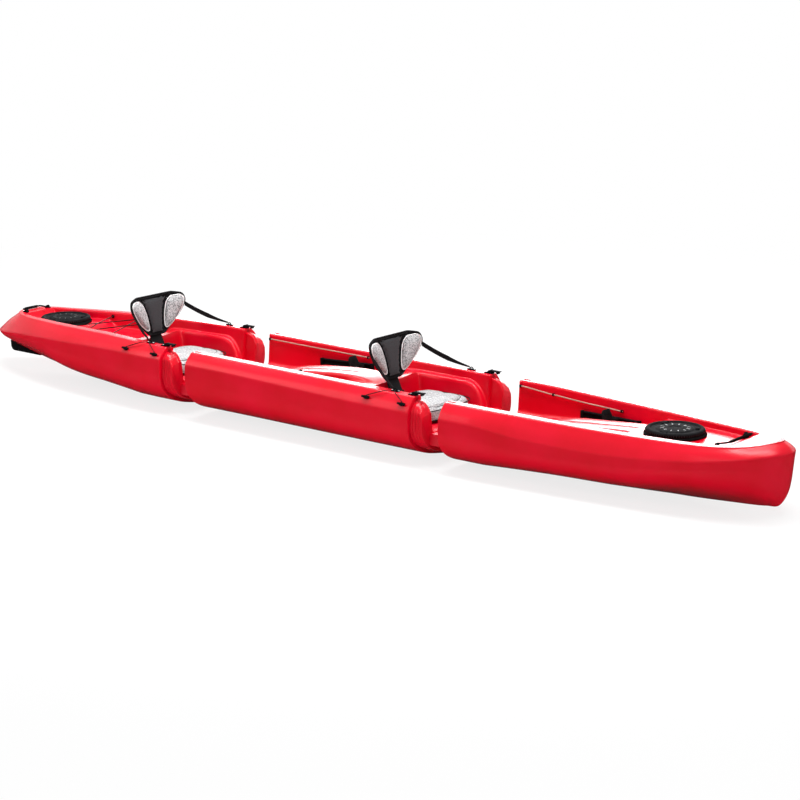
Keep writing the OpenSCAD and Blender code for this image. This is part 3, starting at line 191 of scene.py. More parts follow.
# cloth: crossed threads from two wave textures, with flecks where the yarn is mixed
def wovenCloth(name, stops, threads, fleck, sheen):
    mat, bsdf, place = newFinish(name, {"Roughness": 0.85, "Sheen Weight": sheen, "Sheen Roughness": 0.5,
                                        "IOR": 1.4, "Specular IOR Level": 0.12})
    space = addNode(mat, "ShaderNodeMapping", inputs={"Vector": place}).outputs["Vector"]
    threadsUp = []
    for way in ("X", "Y"):
        wave = addNode(mat, "ShaderNodeTexWave", {"bands_direction": way},
                       {"Vector": space, "Scale": threads, "Distortion": 0.6})
        threadsUp.append(wave.outputs["Fac"])
    cross = addMath(mat, "MAXIMUM", *threadsUp)
    yarn = addNoise(mat, space, fleck, 5, 0.75)
    plug(mat, addRamp(mat, yarn, stops), bsdf.inputs["Base Color"])
    fine = addBump(mat, cross, 0.35, 0.0007)
    plug(mat, addBump(mat, yarn, 0.25, 0.0008, fine), bsdf.inputs["Normal"])
    return mat


# braid: two helices of stripes from the length and girth stored on the tube
braid = {"perMetre": 520.0, "perTurn": 25.13}


def braidedCord(name, base, fleck, share):
    mat, bsdf, place = newFinish(name, {"Roughness": 0.7, "IOR": 1.45, "Specular IOR Level": 0.1})
    run = addNode(mat, "ShaderNodeAttribute", {"attribute_name": "cordRun"}).outputs["Fac"]
    girth = addNode(mat, "ShaderNodeAttribute", {"attribute_name": "cordGirth"}).outputs["Fac"]
    lead = addMath(mat, "MULTIPLY_ADD", run, braid["perMetre"], 0.0)
    twists = [addMath(mat, "MULTIPLY_ADD", girth, hand * braid["perTurn"], lead) for hand in (1, -1)]
    knit = addMath(mat, "MULTIPLY", *[addMath(mat, "SINE", twist) for twist in twists])
    plug(mat, addRamp(mat, knit, [(share, base), (share + 0.08, fleck)]), bsdf.inputs["Base Color"])
    plug(mat, addBump(mat, knit, 0.5, 0.0006), bsdf.inputs["Normal"])
    return mat


melangeYarn = [(0.36, (0.06, 0.062, 0.065)), (0.46, (0.26, 0.265, 0.27)), (0.56, (0.44, 0.445, 0.45)),
               (0.7, (0.66, 0.66, 0.66))]
finishes = {
    "red": redPlastic(),
    "black": mouldedPlastic("blackPlastic", (0.004, 0.004, 0.0045), (0.008, 0.008, 0.009), 0.62, 1500),
    "dark": mouldedPlastic("darkPlastic", (0.007, 0.007, 0.0075), (0.013, 0.013, 0.014), 0.62, 1100),
    "gloss": mouldedPlastic("glossPlastic", (0.008, 0.008, 0.0085), (0.014, 0.014, 0.015), 0.3, 1300, 0.3),
    "rubber": mouldedPlastic("blackRubber", (0.004, 0.004, 0.004), (0.008, 0.008, 0.0085), 0.75, 900),
    "steel": brushedSteel(),
    "melange": wovenCloth("greyMelange", melangeYarn, 200, 150, 0.15),
    "charcoal": wovenCloth("charcoalCloth", [(0.3, (0.026, 0.026, 0.028)), (0.7, (0.056, 0.056, 0.06))], 330,
                           500, 0.04),
    "binding": wovenCloth("blackBinding", [(0.3, (0.004, 0.004, 0.0045)), (0.7, (0.01, 0.01, 0.011))], 420, 600,
                          0.0),
    "webbing": wovenCloth("blackWebbing", [(0.3, (0.005, 0.005, 0.0055)), (0.7, (0.013, 0.013, 0.014))], 240,
                          700, 0.0),
    "whitePiping": wovenCloth("whitePiping", [(0.3, (0.66, 0.66, 0.66)), (0.7, (0.84, 0.84, 0.84))], 500, 600,
                              0.2),
    "shockCord": braidedCord("shockCord", (0.005, 0.005, 0.0055), (0.02, 0.02, 0.021), 0.7),
    "wallCord": braidedCord("wallCord", (0.42, 0.28, 0.22), (0.05, 0.03, 0.03), 0.55),
}
hands = ((1, "Port", "port"), (-1, "Starboard", "stbd"))
seatNames = (("rear", "stern", "rear_back"), ("front", "mid", "front_back"))
modules = {"stern": "stern", "mid": "middle", "bow": "bow"}
print("finishes made:", len(finishes))

# lines of the boat in millimetres, as the solids have them; a section is 0 stern, 1 middle or 2 bow
boat = {
    "lens": (1525, 1368, 1563), "gap": 168, "halfBeam": 354, "sternSheer": 318, "bowSheer": 306,
    "rimWidth": 56, "edge": 5, "sternRake": 195, "stemRake": 48,
    "outerSkin": 15, "innerSkin": 10, "topSkin": 15, "plugClear": 3, "plugLen": 66,
    "tongueLen": 56, "tongueHalf": 276, "tongueLow": 88, "tongueHigh": 54,
    "seatFloor": 140, "ledge": 271, "hump": 264, "humpBack": 395, "wellHalf": 214, "seatDrop": 36,
    "midLegFloor": 168, "bowLegFloor": 160, "ridgeHalf": 80, "ridgeHigh": 284, "deck": 264, "tankFloor": 222,
    "shut": 420,
    "sternHatch": 495, "bowHatch": 998, "lidDia": 255, "hatchBore": 200, "holdWall": 14, "scupper": 26,
    "pocket": (28, 46, 20, 10), "groove": (10, 12),
}
plans = (
    ((0, .03), (.008, .085), (.025, .16), (.06, .28), (.12, .41), (.2, .53), (.36, .71),
     (.51, .83), (.72, .915), (.9, .99), (.93, .995), (1, .995)),
    ((0, .995), (.1, .995), (.5, 1), (.9, .995), (1, .995)),
    ((0, .995), (.09, .995), (.25, .955), (.5, .876), (.73, .75), (.82, .662), (.875, .565),
     (.925, .446), (.963, .31), (.989, .155), (1, .035)),
)
leans = (
    ((0, 2), (.025, 8), (.06, 12), (.12, 22), (.2, 35), (.36, 48), (1, 45)),
    ((0, 45), (1, 45)),
    ((0, 45), (.85, 45), (.925, 49), (.963, 38), (.989, 24), (1, 2)),
)
creases = (
    ((0, 168), (.1, 190), (.25, 220), (.5, 245), (.9, 264), (1, 264)),
    ((0, 264), (.1, 264), (.9, 240), (1, 240)),
    ((0, 240), (.09, 240), (.28, 214), (.5, 208), (.78, 234), (1, 277)),
)
keels = (
    ((0, 130), (.036, 114), (.11, 85), (.2, 57), (.3, 31), (.42, 12), (.56, 2), (.68, 0)),
    ((0, 0), (1, 0)),
    ((.5, 0), (.7, 8), (.85, 22), (1, 36)),
)
rises = (((0, -20), (.2, -20), (.36, -14), (.51, -6), (.68, 0)), None,
         ((.09, 0), (.5, -11), (.73, -14), (.85, -11), (.925, -4), (1, 14)))
sectionShares = ((0, 0), (.18, 0), (.6, .11), (.82, .25), (.94, .41), (1, .62), (1, .82), (.99, 1))
veeHigh = (0, .15, .47, .64, .79, .88, .95, 1)
vees = (
    ((0, 1), (.2, .97), (.31, .8), (.45, .45), (.656, .21), (.83, 0)),
    ((0, 0), (1, 0)),
    ((.1, 0), (.31, .24), (.59, .4), (.74, .6), (.9, .55), (1, 0)),
)
insetWay = ((0, 1), (0, 1), (-.2, .95), (-.55, .8), (-.85, .5), (-1, .1), (-1, 0), (-1, 0), (-.9, -.3))
sternEnd = (55, 55, 52, 48, 40, 25, 10, 0)
stemEnd = (100, 62, 37, 22, 16, 12, 7, 0)
totalLen = sum(boat["lens"]) + 2 * boat["gap"]
rearX = (-totalLen / 2, -totalLen / 2 + boat["lens"][0] + boat["gap"], totalLen / 2 - boat["lens"][2])
shoulderX = tuple(rearX[s] + boat["lens"][s] for s in range(3))
socketDepth = boat["plugLen"] + boat["tongueLen"] + 10
humpAt = tuple(boat["lens"][s] - boat["humpBack"] for s in (0, 1))
sternDeckEnd = boat["sternHatch"] + boat["lidDia"] / 2 + 22
bowDeckStart = boat["bowHatch"] - boat["lidDia"] / 2 - 22
bowDeckEnd = boat["bowHatch"] + boat["lidDia"] / 2 + 175
footEnd = humpAt[1] - 225
bowFootEnd = bowDeckStart - 130


def mix(a, b, t):
    return a + (b - a) * t


# points of a bend from u to v that leans towards the corner p
def bend(u, p, v, steps):
    return [u * (1 - t) ** 2 + p * (2 * t * (1 - t)) + v * t * t for t in (k / steps for k in range(steps + 1))]


# faces between rings of n points each
def bandFaces(rings, n):
    return [(i * n + j, (i + 1) * n + j, (i + 1) * n + (j + 1) % n, i * n + (j + 1) % n)
            for i in range(rings - 1) for j in range(n)]


# smooth line through a few points, without overshoot
def along(points, x):
    if x <= points[0][0]:
        return points[0][1]
    if x >= points[-1][0]:
        return points[-1][1]
    grade = [(b[1] - a[1]) / (b[0] - a[0]) for a, b in zip(points, points[1:])]
    i = max(k for k in range(len(grade)) if points[k][0] <= x)

    def lean(k):
        if k in (0, len(grade)):
            return grade[0 if k == 0 else -1]
        a, b = grade[k - 1], grade[k]
        return 0 if a * b <= 0 else math.copysign(min(abs(a + b) / 2, 2 * min(abs(a), abs(b))), a)

    h = points[i + 1][0] - points[i][0]
    t = (x - points[i][0]) / h
    ends = points[i][1] * (1 + 2 * t) * (1 - t) ** 2 + points[i + 1][1] * t * t * (3 - 2 * t)
    return ends + h * (lean(i) * t * (1 - t) ** 2 - lean(i + 1) * t * t * (1 - t))


def share(s, r):
    return min(r, boat["lens"][s]) / boat["lens"][s]


def creaseY(s, r):
    return boat["halfBeam"] * along(plans[s], share(s, r))


def sheer(s, r):
    if s == 1:
        return mix(boat["sternSheer"], boat["bowSheer"], share(s, r))
    return boat["sternSheer" if s == 0 else "bowSheer"] + along(rises[s], share(s, r))


def gunwaleY(s, r):
    return creaseY(s, r) - along(leans[s], share(s, r))


def hatchRoom(s, r):
    h = boat["lidDia"] / 2 + 11
    off = abs(r - (boat["sternHatch"] if s == 0 else boat["bowHatch"]))
    return 0 if s == 1 else along(((0, h), (.6 * h, .97 * h), (h, 0)), off)


def innerY(s, r):
    g = gunwaleY(s, r)
    return max(g - boat["rimWidth"] * min(1, .3 + g / boat["halfBeam"]), .45 * g, min(g - 14, hatchRoom(s, r)))


def gunwaleMid(s, r):
    return (gunwaleY(s, r) + innerY(s, r)) / 2


def seatLine(s):
    n, f = boat["lens"][s], boat["seatFloor"]
    return [(humpAt[s], boat["hump"]), (humpAt[s] + boat["seatDrop"], f + 8), (n - 150, f), (n, f)]


def ledgeLine(s):
    n, top = boat["lens"][s], boat["ledge"]
    return [(humpAt[s] - 60, boat["hump"] + 4), (humpAt[s] + 40, top), (n - 120, top), (n - 60, top - 20),
            (n - 20, top - 75), (n - 4, boat["seatFloor"] + 14)]


deck, tank, shut, ridge = boat["deck"], boat["tankFloor"], boat["shut"], boat["ridgeHigh"]
closing = [(bowDeckStart, deck), (bowDeckEnd, deck), (bowDeckEnd + 90, shut)]
wallLines = (
    [(150, shut), (265, deck), (sternDeckEnd, deck), (sternDeckEnd + 70, tank + 10),
     (humpAt[0] - 130, tank + 10)]
    + ledgeLine(0),
    [(socketDepth, boat["midLegFloor"]), (360, 180), (690, 196), (footEnd, 204),
     (footEnd + 110, boat["hump"] - 2)]
    + ledgeLine(1),
    [(socketDepth, boat["bowLegFloor"]), (366, 177), (bowFootEnd - 28, 190), (bowFootEnd + 40, 200)] + closing,
)
floorLines = (
    [(150, shut), (265, deck), (sternDeckEnd, deck), (sternDeckEnd + 75, tank), (humpAt[0] - 120, tank),
     (humpAt[0] - 45, boat["hump"])] + seatLine(0),
    [(socketDepth, boat["midLegFloor"]), (footEnd, 178), (footEnd + 105, boat["hump"] - 4)] + seatLine(1),
    [(socketDepth, boat["bowLegFloor"]), (bowFootEnd, 168), (bowFootEnd + 105, deck - 6)] + closing,
)
ridgeLines = (
    floorLines[0],
    [(socketDepth, boat["midLegFloor"]), (socketDepth + 60, boat["midLegFloor"] + 12),
     (footEnd - 401, ridge - 52),
     (footEnd - 301, ridge - 32), (footEnd - 130, ridge - 11), (footEnd + 60, ridge)] + seatLine(1),
    [(socketDepth, boat["bowLegFloor"]), (bowFootEnd - 388, boat["bowLegFloor"] + 3),
     (bowFootEnd - 346, deck - 42),
     (bowFootEnd - 60, deck - 11)] + closing,
)


def insideZ(lines, s, r):
    return min(along(lines[s], min(r, boat["lens"][s])), sheer(s, r))


def seatShare(s, r):
    if s == 2:
        return 0
    n = boat["lens"][s]
    return along([(humpAt[s] - 70, 0), (humpAt[s], 1), (n - 20, 1), (n, .6)], r)


def outerHalf(s, r):
    y, z, k = creaseY(s, r), along(creases[s], share(s, r)), along(keels[s], share(s, r))
    g, top = gunwaleY(s, r), sheer(s, r)
    v = along(vees[s], share(s, r))
    low = [(a * y, k + mix(b, high, v) * (z - k)) for (a, b), high in zip(sectionShares, veeHigh)]
    return low + [(mix(.99 * y, g, .5) + 4 * y / boat["halfBeam"], mix(z, top, .5)), (g, top - boat["edge"]),
                  (.98 * g, top)]


def insetHalf(half, d, g, top, fall):
    low = [(half[k][0] + d * insetWay[k][0],
            min(half[k][1] + d * insetWay[k][1], top - fall[0] - fall[1] * (8 - k)))
           for k in range(9)]
    return low + [(g - d, top - boat["edge"]), (g - d - boat["edge"], top)]


# how far a tub wall leans in from its rim to its foot
def wallDraft(w, top):
    return min(10, (top - w) / 8)


# tub: middle of the floor out to the gunwale; d sets the wall into the skin, dip cuts the centre groove
def tubHalf(s, r, d, top, dip=0):
    yi, w = innerY(s, r), insideZ(wallLines, s, r)
    f, c, q = insideZ(floorLines, s, r), insideZ(ridgeLines, s, r), seatShare(s, r)
    e = min(boat["edge"], (top - w + d) / 2)
    yw = yi - wallDraft(w, top)
    l1 = mix(.92 * yw, min(boat["wellHalf"], .92 * yw), q)
    l2 = mix(.84 * yw, min(boat["wellHalf"] - 12, .86 * yw), q)
    y1 = min(mix(boat["ridgeHalf"] + 14, 130, q), .66 * yw)
    y2 = min(mix(boat["ridgeHalf"], 80, q), .5 * yw)
    wall, rim = Vector((yw + d, w - d)), Vector((yi + d, top - e))
    half = boat["groove"][0] / 2
    mid = [(0, c - d - dip), (half * .7, c - d - dip), (half, c - d - dip * .15)]
    low = mid + [(y2, c - d - 2 * q), (y1, mix(f, f + 2, q) - d), (l2 + .6 * d, mix(f, f + 8, q) - d),
                 (l1 + .8 * d, w - 2 - d)]
    return low + [tuple(wall.lerp(rim, t)) for t in (0, .3, .6, .85, 1)] + [(yi + d + e * .9, top)]


def endShift(s, r, k):
    t = share(s, r)
    if s == 0 and k > 7:
        return boat["sternRake"] * (.45 if k == 8 else 1) * max(0, 1 - t / .33) ** 1.6
    if s == 0:
        return sternEnd[k] * max(0, 1 - t / .1) ** 2
    if s == 2 and k > 7:
        return -boat["stemRake"] * (.4 if k == 8 else 1) * max(0, (t - .8) / .2) ** 2
    return -stemEnd[k] * max(0, (t - .85) / .15) ** 2 if s == 2 else 0


# rounding of each corner of a half section, from the keel up over the gunwale and down to the floor
outerRounds = (0, 60, 60, 60, 60, 40, 40, 7, 24, 4, 4)
innerRounds = (0, 2, 3, 14, 14, 18, 20, 16, 4, 4, 4, 4, 4)
roundSteps = 4
tipRound = 10


def roundedHalf(outer, inner, shifts, x):
    line = [Vector((x + shifts[k], *p)) for k, p in enumerate(outer)]
    line += [Vector((x + shifts[9], *p)) for p in reversed(inner)]
    rounds = list(outerRounds) + list(reversed(innerRounds))
    out = [line[0]]
    for i in range(1, len(line) - 1):
        p, ends = line[i], []
        for q in (line[i - 1], line[i + 1]):
            span = (q - p).length
            ends.append(p + (q - p) * min(rounds[i] / span, .48) if span > 1e-6 else p.copy())
        out += bend(ends[0], p, ends[1], roundSteps)
    return out + [line[-1]]


def tipShare(s, r):
    left = r if s == 0 else boat["lens"][2] - r if s == 2 else tipRound
    return 1 if left >= tipRound else math.sqrt(1 - (1 - left / tipRound) ** 2)


def plugTop(s, r):
    n, p = boat["lens"][s], boat["plugLen"]
    fall = along([(0, 0), (p * .4, 5), (p * .75, 22), (p, 50)], r - n)
    return sheer(s, r) - boat["topSkin"] - boat["plugClear"] - fall


# grooves pressed into the ridge tops, as far as each reaches
grooveRuns = (None, (445, 800), (470, 805))


def grooveDip(s, r):
    run = grooveRuns[s]
    if run is None:
        return 0
    return boat["groove"][1] * along([(run[0] - 14, 0), (run[0], 1), (run[1], 1), (run[1] + 14, 0)], r)


def hullHalf(s, r, d=0):
    squeeze = tipShare(s, r)
    outer = outerHalf(s, r)
    top = sheer(s, r)
    if d:
        low = [(y + d * w[0], z + d * w[1]) for (y, z), w in zip(outer, insetWay)]
        outer = low + [(y - d, z - d) for y, z in outer[9:]]
    inner = tubHalf(s, r, d, top - d, grooveDip(s, r))
    if squeeze < 1:
        outer = [(y * squeeze, z) for y, z in outer]
        inner = [(y * squeeze, z) for y, z in inner]
    return roundedHalf(outer, inner, [endShift(s, r, k) for k in range(11)], rearX[s] + r)


flutes = {"at": (12, 29, 46), "half": 7, "deep": 4.5}


def pluggedHalf(s, r):
    n, p = boat["lens"][s], boat["plugLen"]
    past = r - n
    d = boat["outerSkin"] + boat["plugClear"] + max(0, past - p * .7) * .15
    top = plugTop(s, r)
    outer = insetHalf(outerHalf(s, n), d, gunwaleY(s, n), top, (14, 6))
    cut = max(math.cos(min(1, abs(past - a) / flutes["half"]) * math.pi) for a in flutes["at"])
    for k in (4, 5, 6, 7):
        outer[k] = (outer[k][0] - flutes["deep"] * (cut + 1) / 2, outer[k][1])
    inner = tubHalf(s + 1, 0, boat["innerSkin"] + boat["plugClear"], top)
    return roundedHalf(outer, inner, [0] * 11, rearX[s] + r)


def socketHalf(s, r, grow=0):
    top = sheer(s, 0) - boat["topSkin"] + grow
    outer = insetHalf(outerHalf(s, 0), boat["outerSkin"] - grow, gunwaleY(s, 0), top, (0, 4))
    inner = tubHalf(s, 0, boat["innerSkin"] - grow, top)
    return roundedHalf(outer, inner, [0] * 11, rearX[s] + r)


edgeSteps = ((4, 0), (2.2, .55), (.9, 1.6), (0, 4))  # back from a module's end, and set in by
plugSteps = 24


# places of the sections along a module, close together at the boat's two tips
tipStations = (0, .4, 1.2, 2.4, 4, 6, 8, 10, 14, 20, 28, 38, 50, 62, 75, 90)
stationStep = 11


def stationsOf(s):
    n = boat["lens"][s]
    fine = (list(tipStations), [], [n - a for a in tipStations])[s]
    start = 12 if s else 100
    stop = n - (100 if s == 2 else 8)
    count = int((stop - start) / stationStep)
    even = [mix(start, stop, i / count) for i in range(count + 1)]
    return sorted(fine + even)


def hullRings(s):
    n = boat["lens"][s]
    rings = [hullHalf(s, r) for r in stationsOf(s)]
    if s > 0:
        mouth = [hullHalf(s, back, d) for back, d in edgeSteps]
        rings = mouth[::-1] + rings
        rings = [socketHalf(s, socketDepth), socketHalf(s, 3), socketHalf(s, .8, 1),
                 socketHalf(s, 0, 3)] + rings
    if s < 2:
        rings += [hullHalf(s, n - back, d) for back, d in edgeSteps]
        rings += [pluggedHalf(s, n + mix(.3, boat["plugLen"] - 3, i / plugSteps)) for i in range(plugSteps + 1)]
        rings.append(pluggedHalf(s, n + boat["plugLen"]))
    return rings


def newMesh(name, verts, faces):
    mesh = bpy.data.meshes.new(name)
    mesh.from_pydata([tuple(c * mm for c in v) for v in verts], [], faces)
    bm = bmesh.new()
    bm.from_mesh(mesh)
    bmesh.ops.remove_doubles(bm, verts=bm.verts, dist=0.00002)
    bmesh.ops.dissolve_degenerate(bm, edges=bm.edges, dist=0.00001)
    bmesh.ops.recalc_face_normals(bm, faces=bm.faces)
    bm.to_mesh(mesh)
    bm.free()
    return mesh


def newPiece(name, mesh, finish, smooth=35):
    obj = bpy.data.objects.new(name, mesh)
    scene.collection.objects.link(obj)
    mesh.materials.clear()
    mesh.materials.append(finishes[finish])
    mesh.shade_smooth()
    if smooth:
        mesh.set_sharp_from_angle(angle=math.radians(smooth))
    return obj


# a finished piece rides on its body and stands for the nodes named
def settle(piece, body, *replaced):
    if replaced:
        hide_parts(*replaced)
    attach(piece, body)
    return piece


def loftMesh(name, halves):
    n = len(halves[0])
    size = 2 * n - 2
    verts = []
    for half in halves:
        verts += half + [Vector((p[0], -p[1], p[2])) for p in half[n - 2:0:-1]]
    faces = bandFaces(len(halves), size)
    for half, base in ((halves[0], 0), (halves[-1], (len(halves) - 1) * size)):
        if max(p[1] for p in half) > 1:
            faces += [tuple(base + j for j in range(n)), tuple(base + (size - j) % size for j in range(n))]
    return newMesh(name, verts, faces)


def prismMesh(name, ring, low, high):
    n = len(ring)
    verts = [(*p, low) for p in ring] + [(*p, high) for p in ring]
    faces = [tuple(range(n)), tuple(range(n, 2 * n))]
    faces += [(j, (j + 1) % n, n + (j + 1) % n, n + j) for j in range(n)]
    return newMesh(name, verts, faces)


def discRing(x, y, radius, count=40):
    return [(x + radius * math.cos(2 * math.pi * j / count), y + radius * math.sin(2 * math.pi * j / count))
            for j in range(count)]


def ovalRing(x, y, length, width, count=12):
    ring = []
    for end in (1, -1):
        for j in range(count + 1):
            a = math.pi * (j / count - .5) + (0 if end > 0 else math.pi)
            ring.append((x + end * (length - width) / 2 + width / 2 * math.cos(a), y + width / 2 * math.sin(a)))
    return ring


def holdMesh(s, at):
    verts = []
    stops = [at + 15 * i for i in range(-10, 11)]
    for r in stops:
        y, k = creaseY(s, r), along(keels[s], share(s, r))
        d = along(creases[s], share(s, r)) - k
        a, b, v = .62 * y, .88 * y - boat["holdWall"], along(vees[s], share(s, r))
        low = k + mix(.16, .55, v) * d + boat["holdWall"] * .8
        half, top = k + mix(.55, .8, v) * d, deck - boat["holdWall"]
        ring = ((-a, low), (a, low), (b, half), (b, top), (-b, top), (-b, half))
        verts += [(rearX[s] + r, *p) for p in ring]
    last = 6 * len(stops) - 6
    return newMesh("hold", verts, bandFaces(len(stops), 6) + [tuple(range(6)), tuple(range(last, last + 6))])


# the mesh that an object's modifiers give
def evaluatedMesh(obj):
    bpy.context.view_layer.update()
    return bpy.data.meshes.new_from_object(obj.evaluated_get(bpy.context.evaluated_depsgraph_get()))


def carve(obj, mesh, operation="DIFFERENCE"):
    cutter = bpy.data.objects.new("cutter", mesh)
    scene.collection.objects.link(cutter)
    cut = obj.modifiers.new("cut", "BOOLEAN")
    cut.operation, cut.solver, cut.object = operation, "EXACT", cutter
    result = evaluatedMesh(obj)
    obj.modifiers.remove(cut)
    obj.data = result
    bpy.data.objects.remove(cutter)


def hullCuts(s):
    x, n = rearX[s], boat["lens"][s]
    cuts = []
    if s != 1:
        at = boat["sternHatch"] if s == 0 else boat["bowHatch"]
        cuts.append(holdMesh(s, at))
        cuts.append(prismMesh("bore", discRing(x + at, 0, boat["hatchBore"] / 2, 72),
                              deck - boat["holdWall"] - 6, deck + 30))
    drains = (
        [(humpAt[0] - 190, 105), (n - 60, 120)],
        [(footEnd - 60, 140), (n - 60, 120)],
        [(bowFootEnd - 60, 130)],
    )[s]
    for r, y in drains:
        cuts += [prismMesh("drain", discRing(x + r, side * y, boat["scupper"] / 2), -2, boat["hump"])
                 for side in (1, -1)]
    if s > 0:
        at, length, width, deep = boat["pocket"]
        for side in (1, -1):
            ring = ovalRing(x + at, side * gunwaleMid(s, at), length, width)
            cuts.append(prismMesh("pocket", ring, sheer(s, at) - deep, sheer(s, at) + deep))
    return cuts


def tongueMesh(s):
    x = shoulderX[s] + boat["plugLen"]
    half, low, high, r = boat["tongueHalf"], boat["tongueLow"], boat["tongueLow"] + boat["tongueHigh"], 8
    ring = [(-6, -half), (boat["tongueLen"] - r, -half), (boat["tongueLen"], -half + r),
            (boat["tongueLen"], half - r),
            (boat["tongueLen"] - r, half), (-6, half)]
    mesh = prismMesh("tongue", [(x + a, b) for a, b in ring], low, high)
    bm = bmesh.new()
    bm.from_mesh(mesh)
    rim = [e for e in bm.edges if e.calc_face_angle(0) > .3 and max(v.co.x for v in e.verts) > (x + 1) * mm]
    bmesh.ops.bevel(bm, geom=rim, offset=4 * mm, segments=3, affect="EDGES", clamp_overlap=True)
    bm.to_mesh(mesh)
    bm.free()
    return mesh


hullSharp = 32
hullNames = (("sternHull", "stern_hull", "stern"), ("middleHull", "mid_hull", "mid"),
             ("bowHull", "bow_hull", "bow"))
for s, (name, node, body) in enumerate(hullNames):
    hull = newPiece(name, loftMesh(name, hullRings(s)), "red")
    if s < 2:
        carve(hull, tongueMesh(s), "UNION")
    for cut in hullCuts(s):
        carve(hull, cut)
    hull.data.shade_smooth()
    hull.data.set_sharp_from_angle(angle=math.radians(hullSharp))
    hull.data.materials.clear()
    hull.data.materials.append(finishes["red"])
    settle(hull, body, node)
    print(name, "lofted,", len(hull.data.polygons), "faces")

# node trees: a tube along a drawn line, and copies of one small shape set on points
def newTree(name, sockets):
    tree = bpy.data.node_groups.new(name, "GeometryNodeTree")
    tree.is_modifier = True
    tree.interface.new_socket(name="Geometry", in_out="INPUT", socket_type="NodeSocketGeometry")
    ids = {}
    for label, kind in sockets:
        ids[label] = tree.interface.new_socket(name=label, in_out="INPUT", socket_type=kind).identifier
    tree.interface.new_socket(name="Geometry", in_out="OUTPUT", socket_type="NodeSocketGeometry")
    return tree, ids


def tubeTree():
    tree, ids = newTree("tubeAlongLine", (("Radius", "NodeSocketFloat"), ("Sides", "NodeSocketInt"),
                                          ("Finish", "NodeSocketMaterial")))
    given = treeNode(tree, "NodeGroupInput").outputs
    line = treeNode(tree, "GeometryNodeMeshToCurve", inputs={"Mesh": given["Geometry"]}).outputs["Curve"]
    stop = treeNode(tree, "GeometryNodeSplineParameter")
    line = treeNode(tree, "GeometryNodeStoreNamedAttribute", {"data_type": "FLOAT", "domain": "POINT"},
                    {"Geometry": line, "Name": "cordRun", "Value": stop.outputs["Length"]}).outputs["Geometry"]
    ring = treeNode(tree, "GeometryNodeCurvePrimitiveCircle",
                    inputs={"Resolution": given["Sides"], "Radius": given["Radius"]}).outputs["Curve"]
    ring = treeNode(tree, "GeometryNodeStoreNamedAttribute", {"data_type": "FLOAT", "domain": "POINT"},
                    {"Geometry": ring, "Name": "cordGirth",
                     "Value": stop.outputs["Factor"]}).outputs["Geometry"]
    tube = treeNode(tree, "GeometryNodeCurveToMesh",
                    inputs={"Curve": line, "Profile Curve": ring, "Fill Caps": True}).outputs["Mesh"]
    tube = treeNode(tree, "GeometryNodeRealizeInstances", inputs={"Geometry": tube}).outputs["Geometry"]
    tube = treeNode(tree, "GeometryNodeSetMaterial",
                    inputs={"Geometry": tube, "Material": given["Finish"]}).outputs["Geometry"]
    treeNode(tree, "NodeGroupOutput", inputs={"Geometry": tube})
    return tree, ids


def copiesTree():
    tree, ids = newTree("copiesOnPoints",
                        (("Shape", "NodeSocketObject"), ("Scale", "NodeSocketFloat"),
                         ("Finish", "NodeSocketMaterial")))
    given = treeNode(tree, "NodeGroupInput").outputs
    shape = treeNode(tree, "GeometryNodeObjectInfo", inputs={"Object": given["Shape"]}).outputs["Geometry"]
    turn = treeNode(tree, "GeometryNodeInputNamedAttribute", {"data_type": "FLOAT_VECTOR"},
                    {"Name": "turn"}).outputs["Attribute"]
    turn = treeNode(tree, "FunctionNodeEulerToRotation", inputs={"Euler": turn}).outputs["Rotation"]
    many = treeNode(tree, "GeometryNodeInstanceOnPoints",
                    inputs={"Points": given["Geometry"], "Instance": shape, "Rotation": turn,
                            "Scale": given["Scale"]}).outputs["Instances"]
    many = treeNode(tree, "GeometryNodeRealizeInstances", inputs={"Geometry": many}).outputs["Geometry"]
    many = treeNode(tree, "GeometryNodeSetMaterial",
                    inputs={"Geometry": many, "Material": given["Finish"]}).outputs["Geometry"]
    treeNode(tree, "NodeGroupOutput", inputs={"Geometry": many})
    return tree, ids


trees = {"tube": tubeTree(), "copies": copiesTree()}


def grown(name, mesh, treeName, values, smooth=40):
    tree, ids = trees[treeName]
    obj = bpy.data.objects.new(name, mesh)
    scene.collection.objects.link(obj)
    work = obj.modifiers.new("grow", "NODES")
    work.node_group = tree
    for label, value in values.items():
        work[ids[label]] = value
    result = evaluatedMesh(obj)
    obj.modifiers.remove(work)
    obj.data = result
    result.name = name
    result.shade_smooth()
    if smooth:
        result.set_sharp_from_angle(angle=math.radians(smooth))
    return obj


def lineMesh(points, closed=False):
    mesh = bpy.data.meshes.new("line")
    ends = [(i, i + 1) for i in range(len(points) - 1)] + ([(len(points) - 1, 0)] if closed else [])
    mesh.from_pydata([tuple(c * mm for c in p) for p in points], ends, [])
    return mesh


def tubePiece(name, points, diameter, finish, closed=False, sides=14):
    return grown(name, lineMesh(points, closed), "tube",
                 {"Radius": diameter / 2 * mm, "Sides": sides, "Finish": finishes[finish]}, 60)


# spots are (place in mm, turn as an euler)
def copiesPiece(name, spots, shapeMesh, finish, smooth=40):
    mesh = bpy.data.meshes.new("spots")
    mesh.from_pydata([tuple(c * mm for c in place) for place, turn in spots], [], [])
    turns = mesh.attributes.new("turn", "FLOAT_VECTOR", "POINT")
    for item, (place, turn) in zip(turns.data, spots):
        item.vector = turn
    shape = bpy.data.objects.new("shape", shapeMesh)
    scene.collection.objects.link(shape)
    piece = grown(name, mesh, "copies", {"Shape": shape, "Scale": 1.0, "Finish": finishes[finish]}, smooth)
    bpy.data.objects.remove(shape)
    return piece


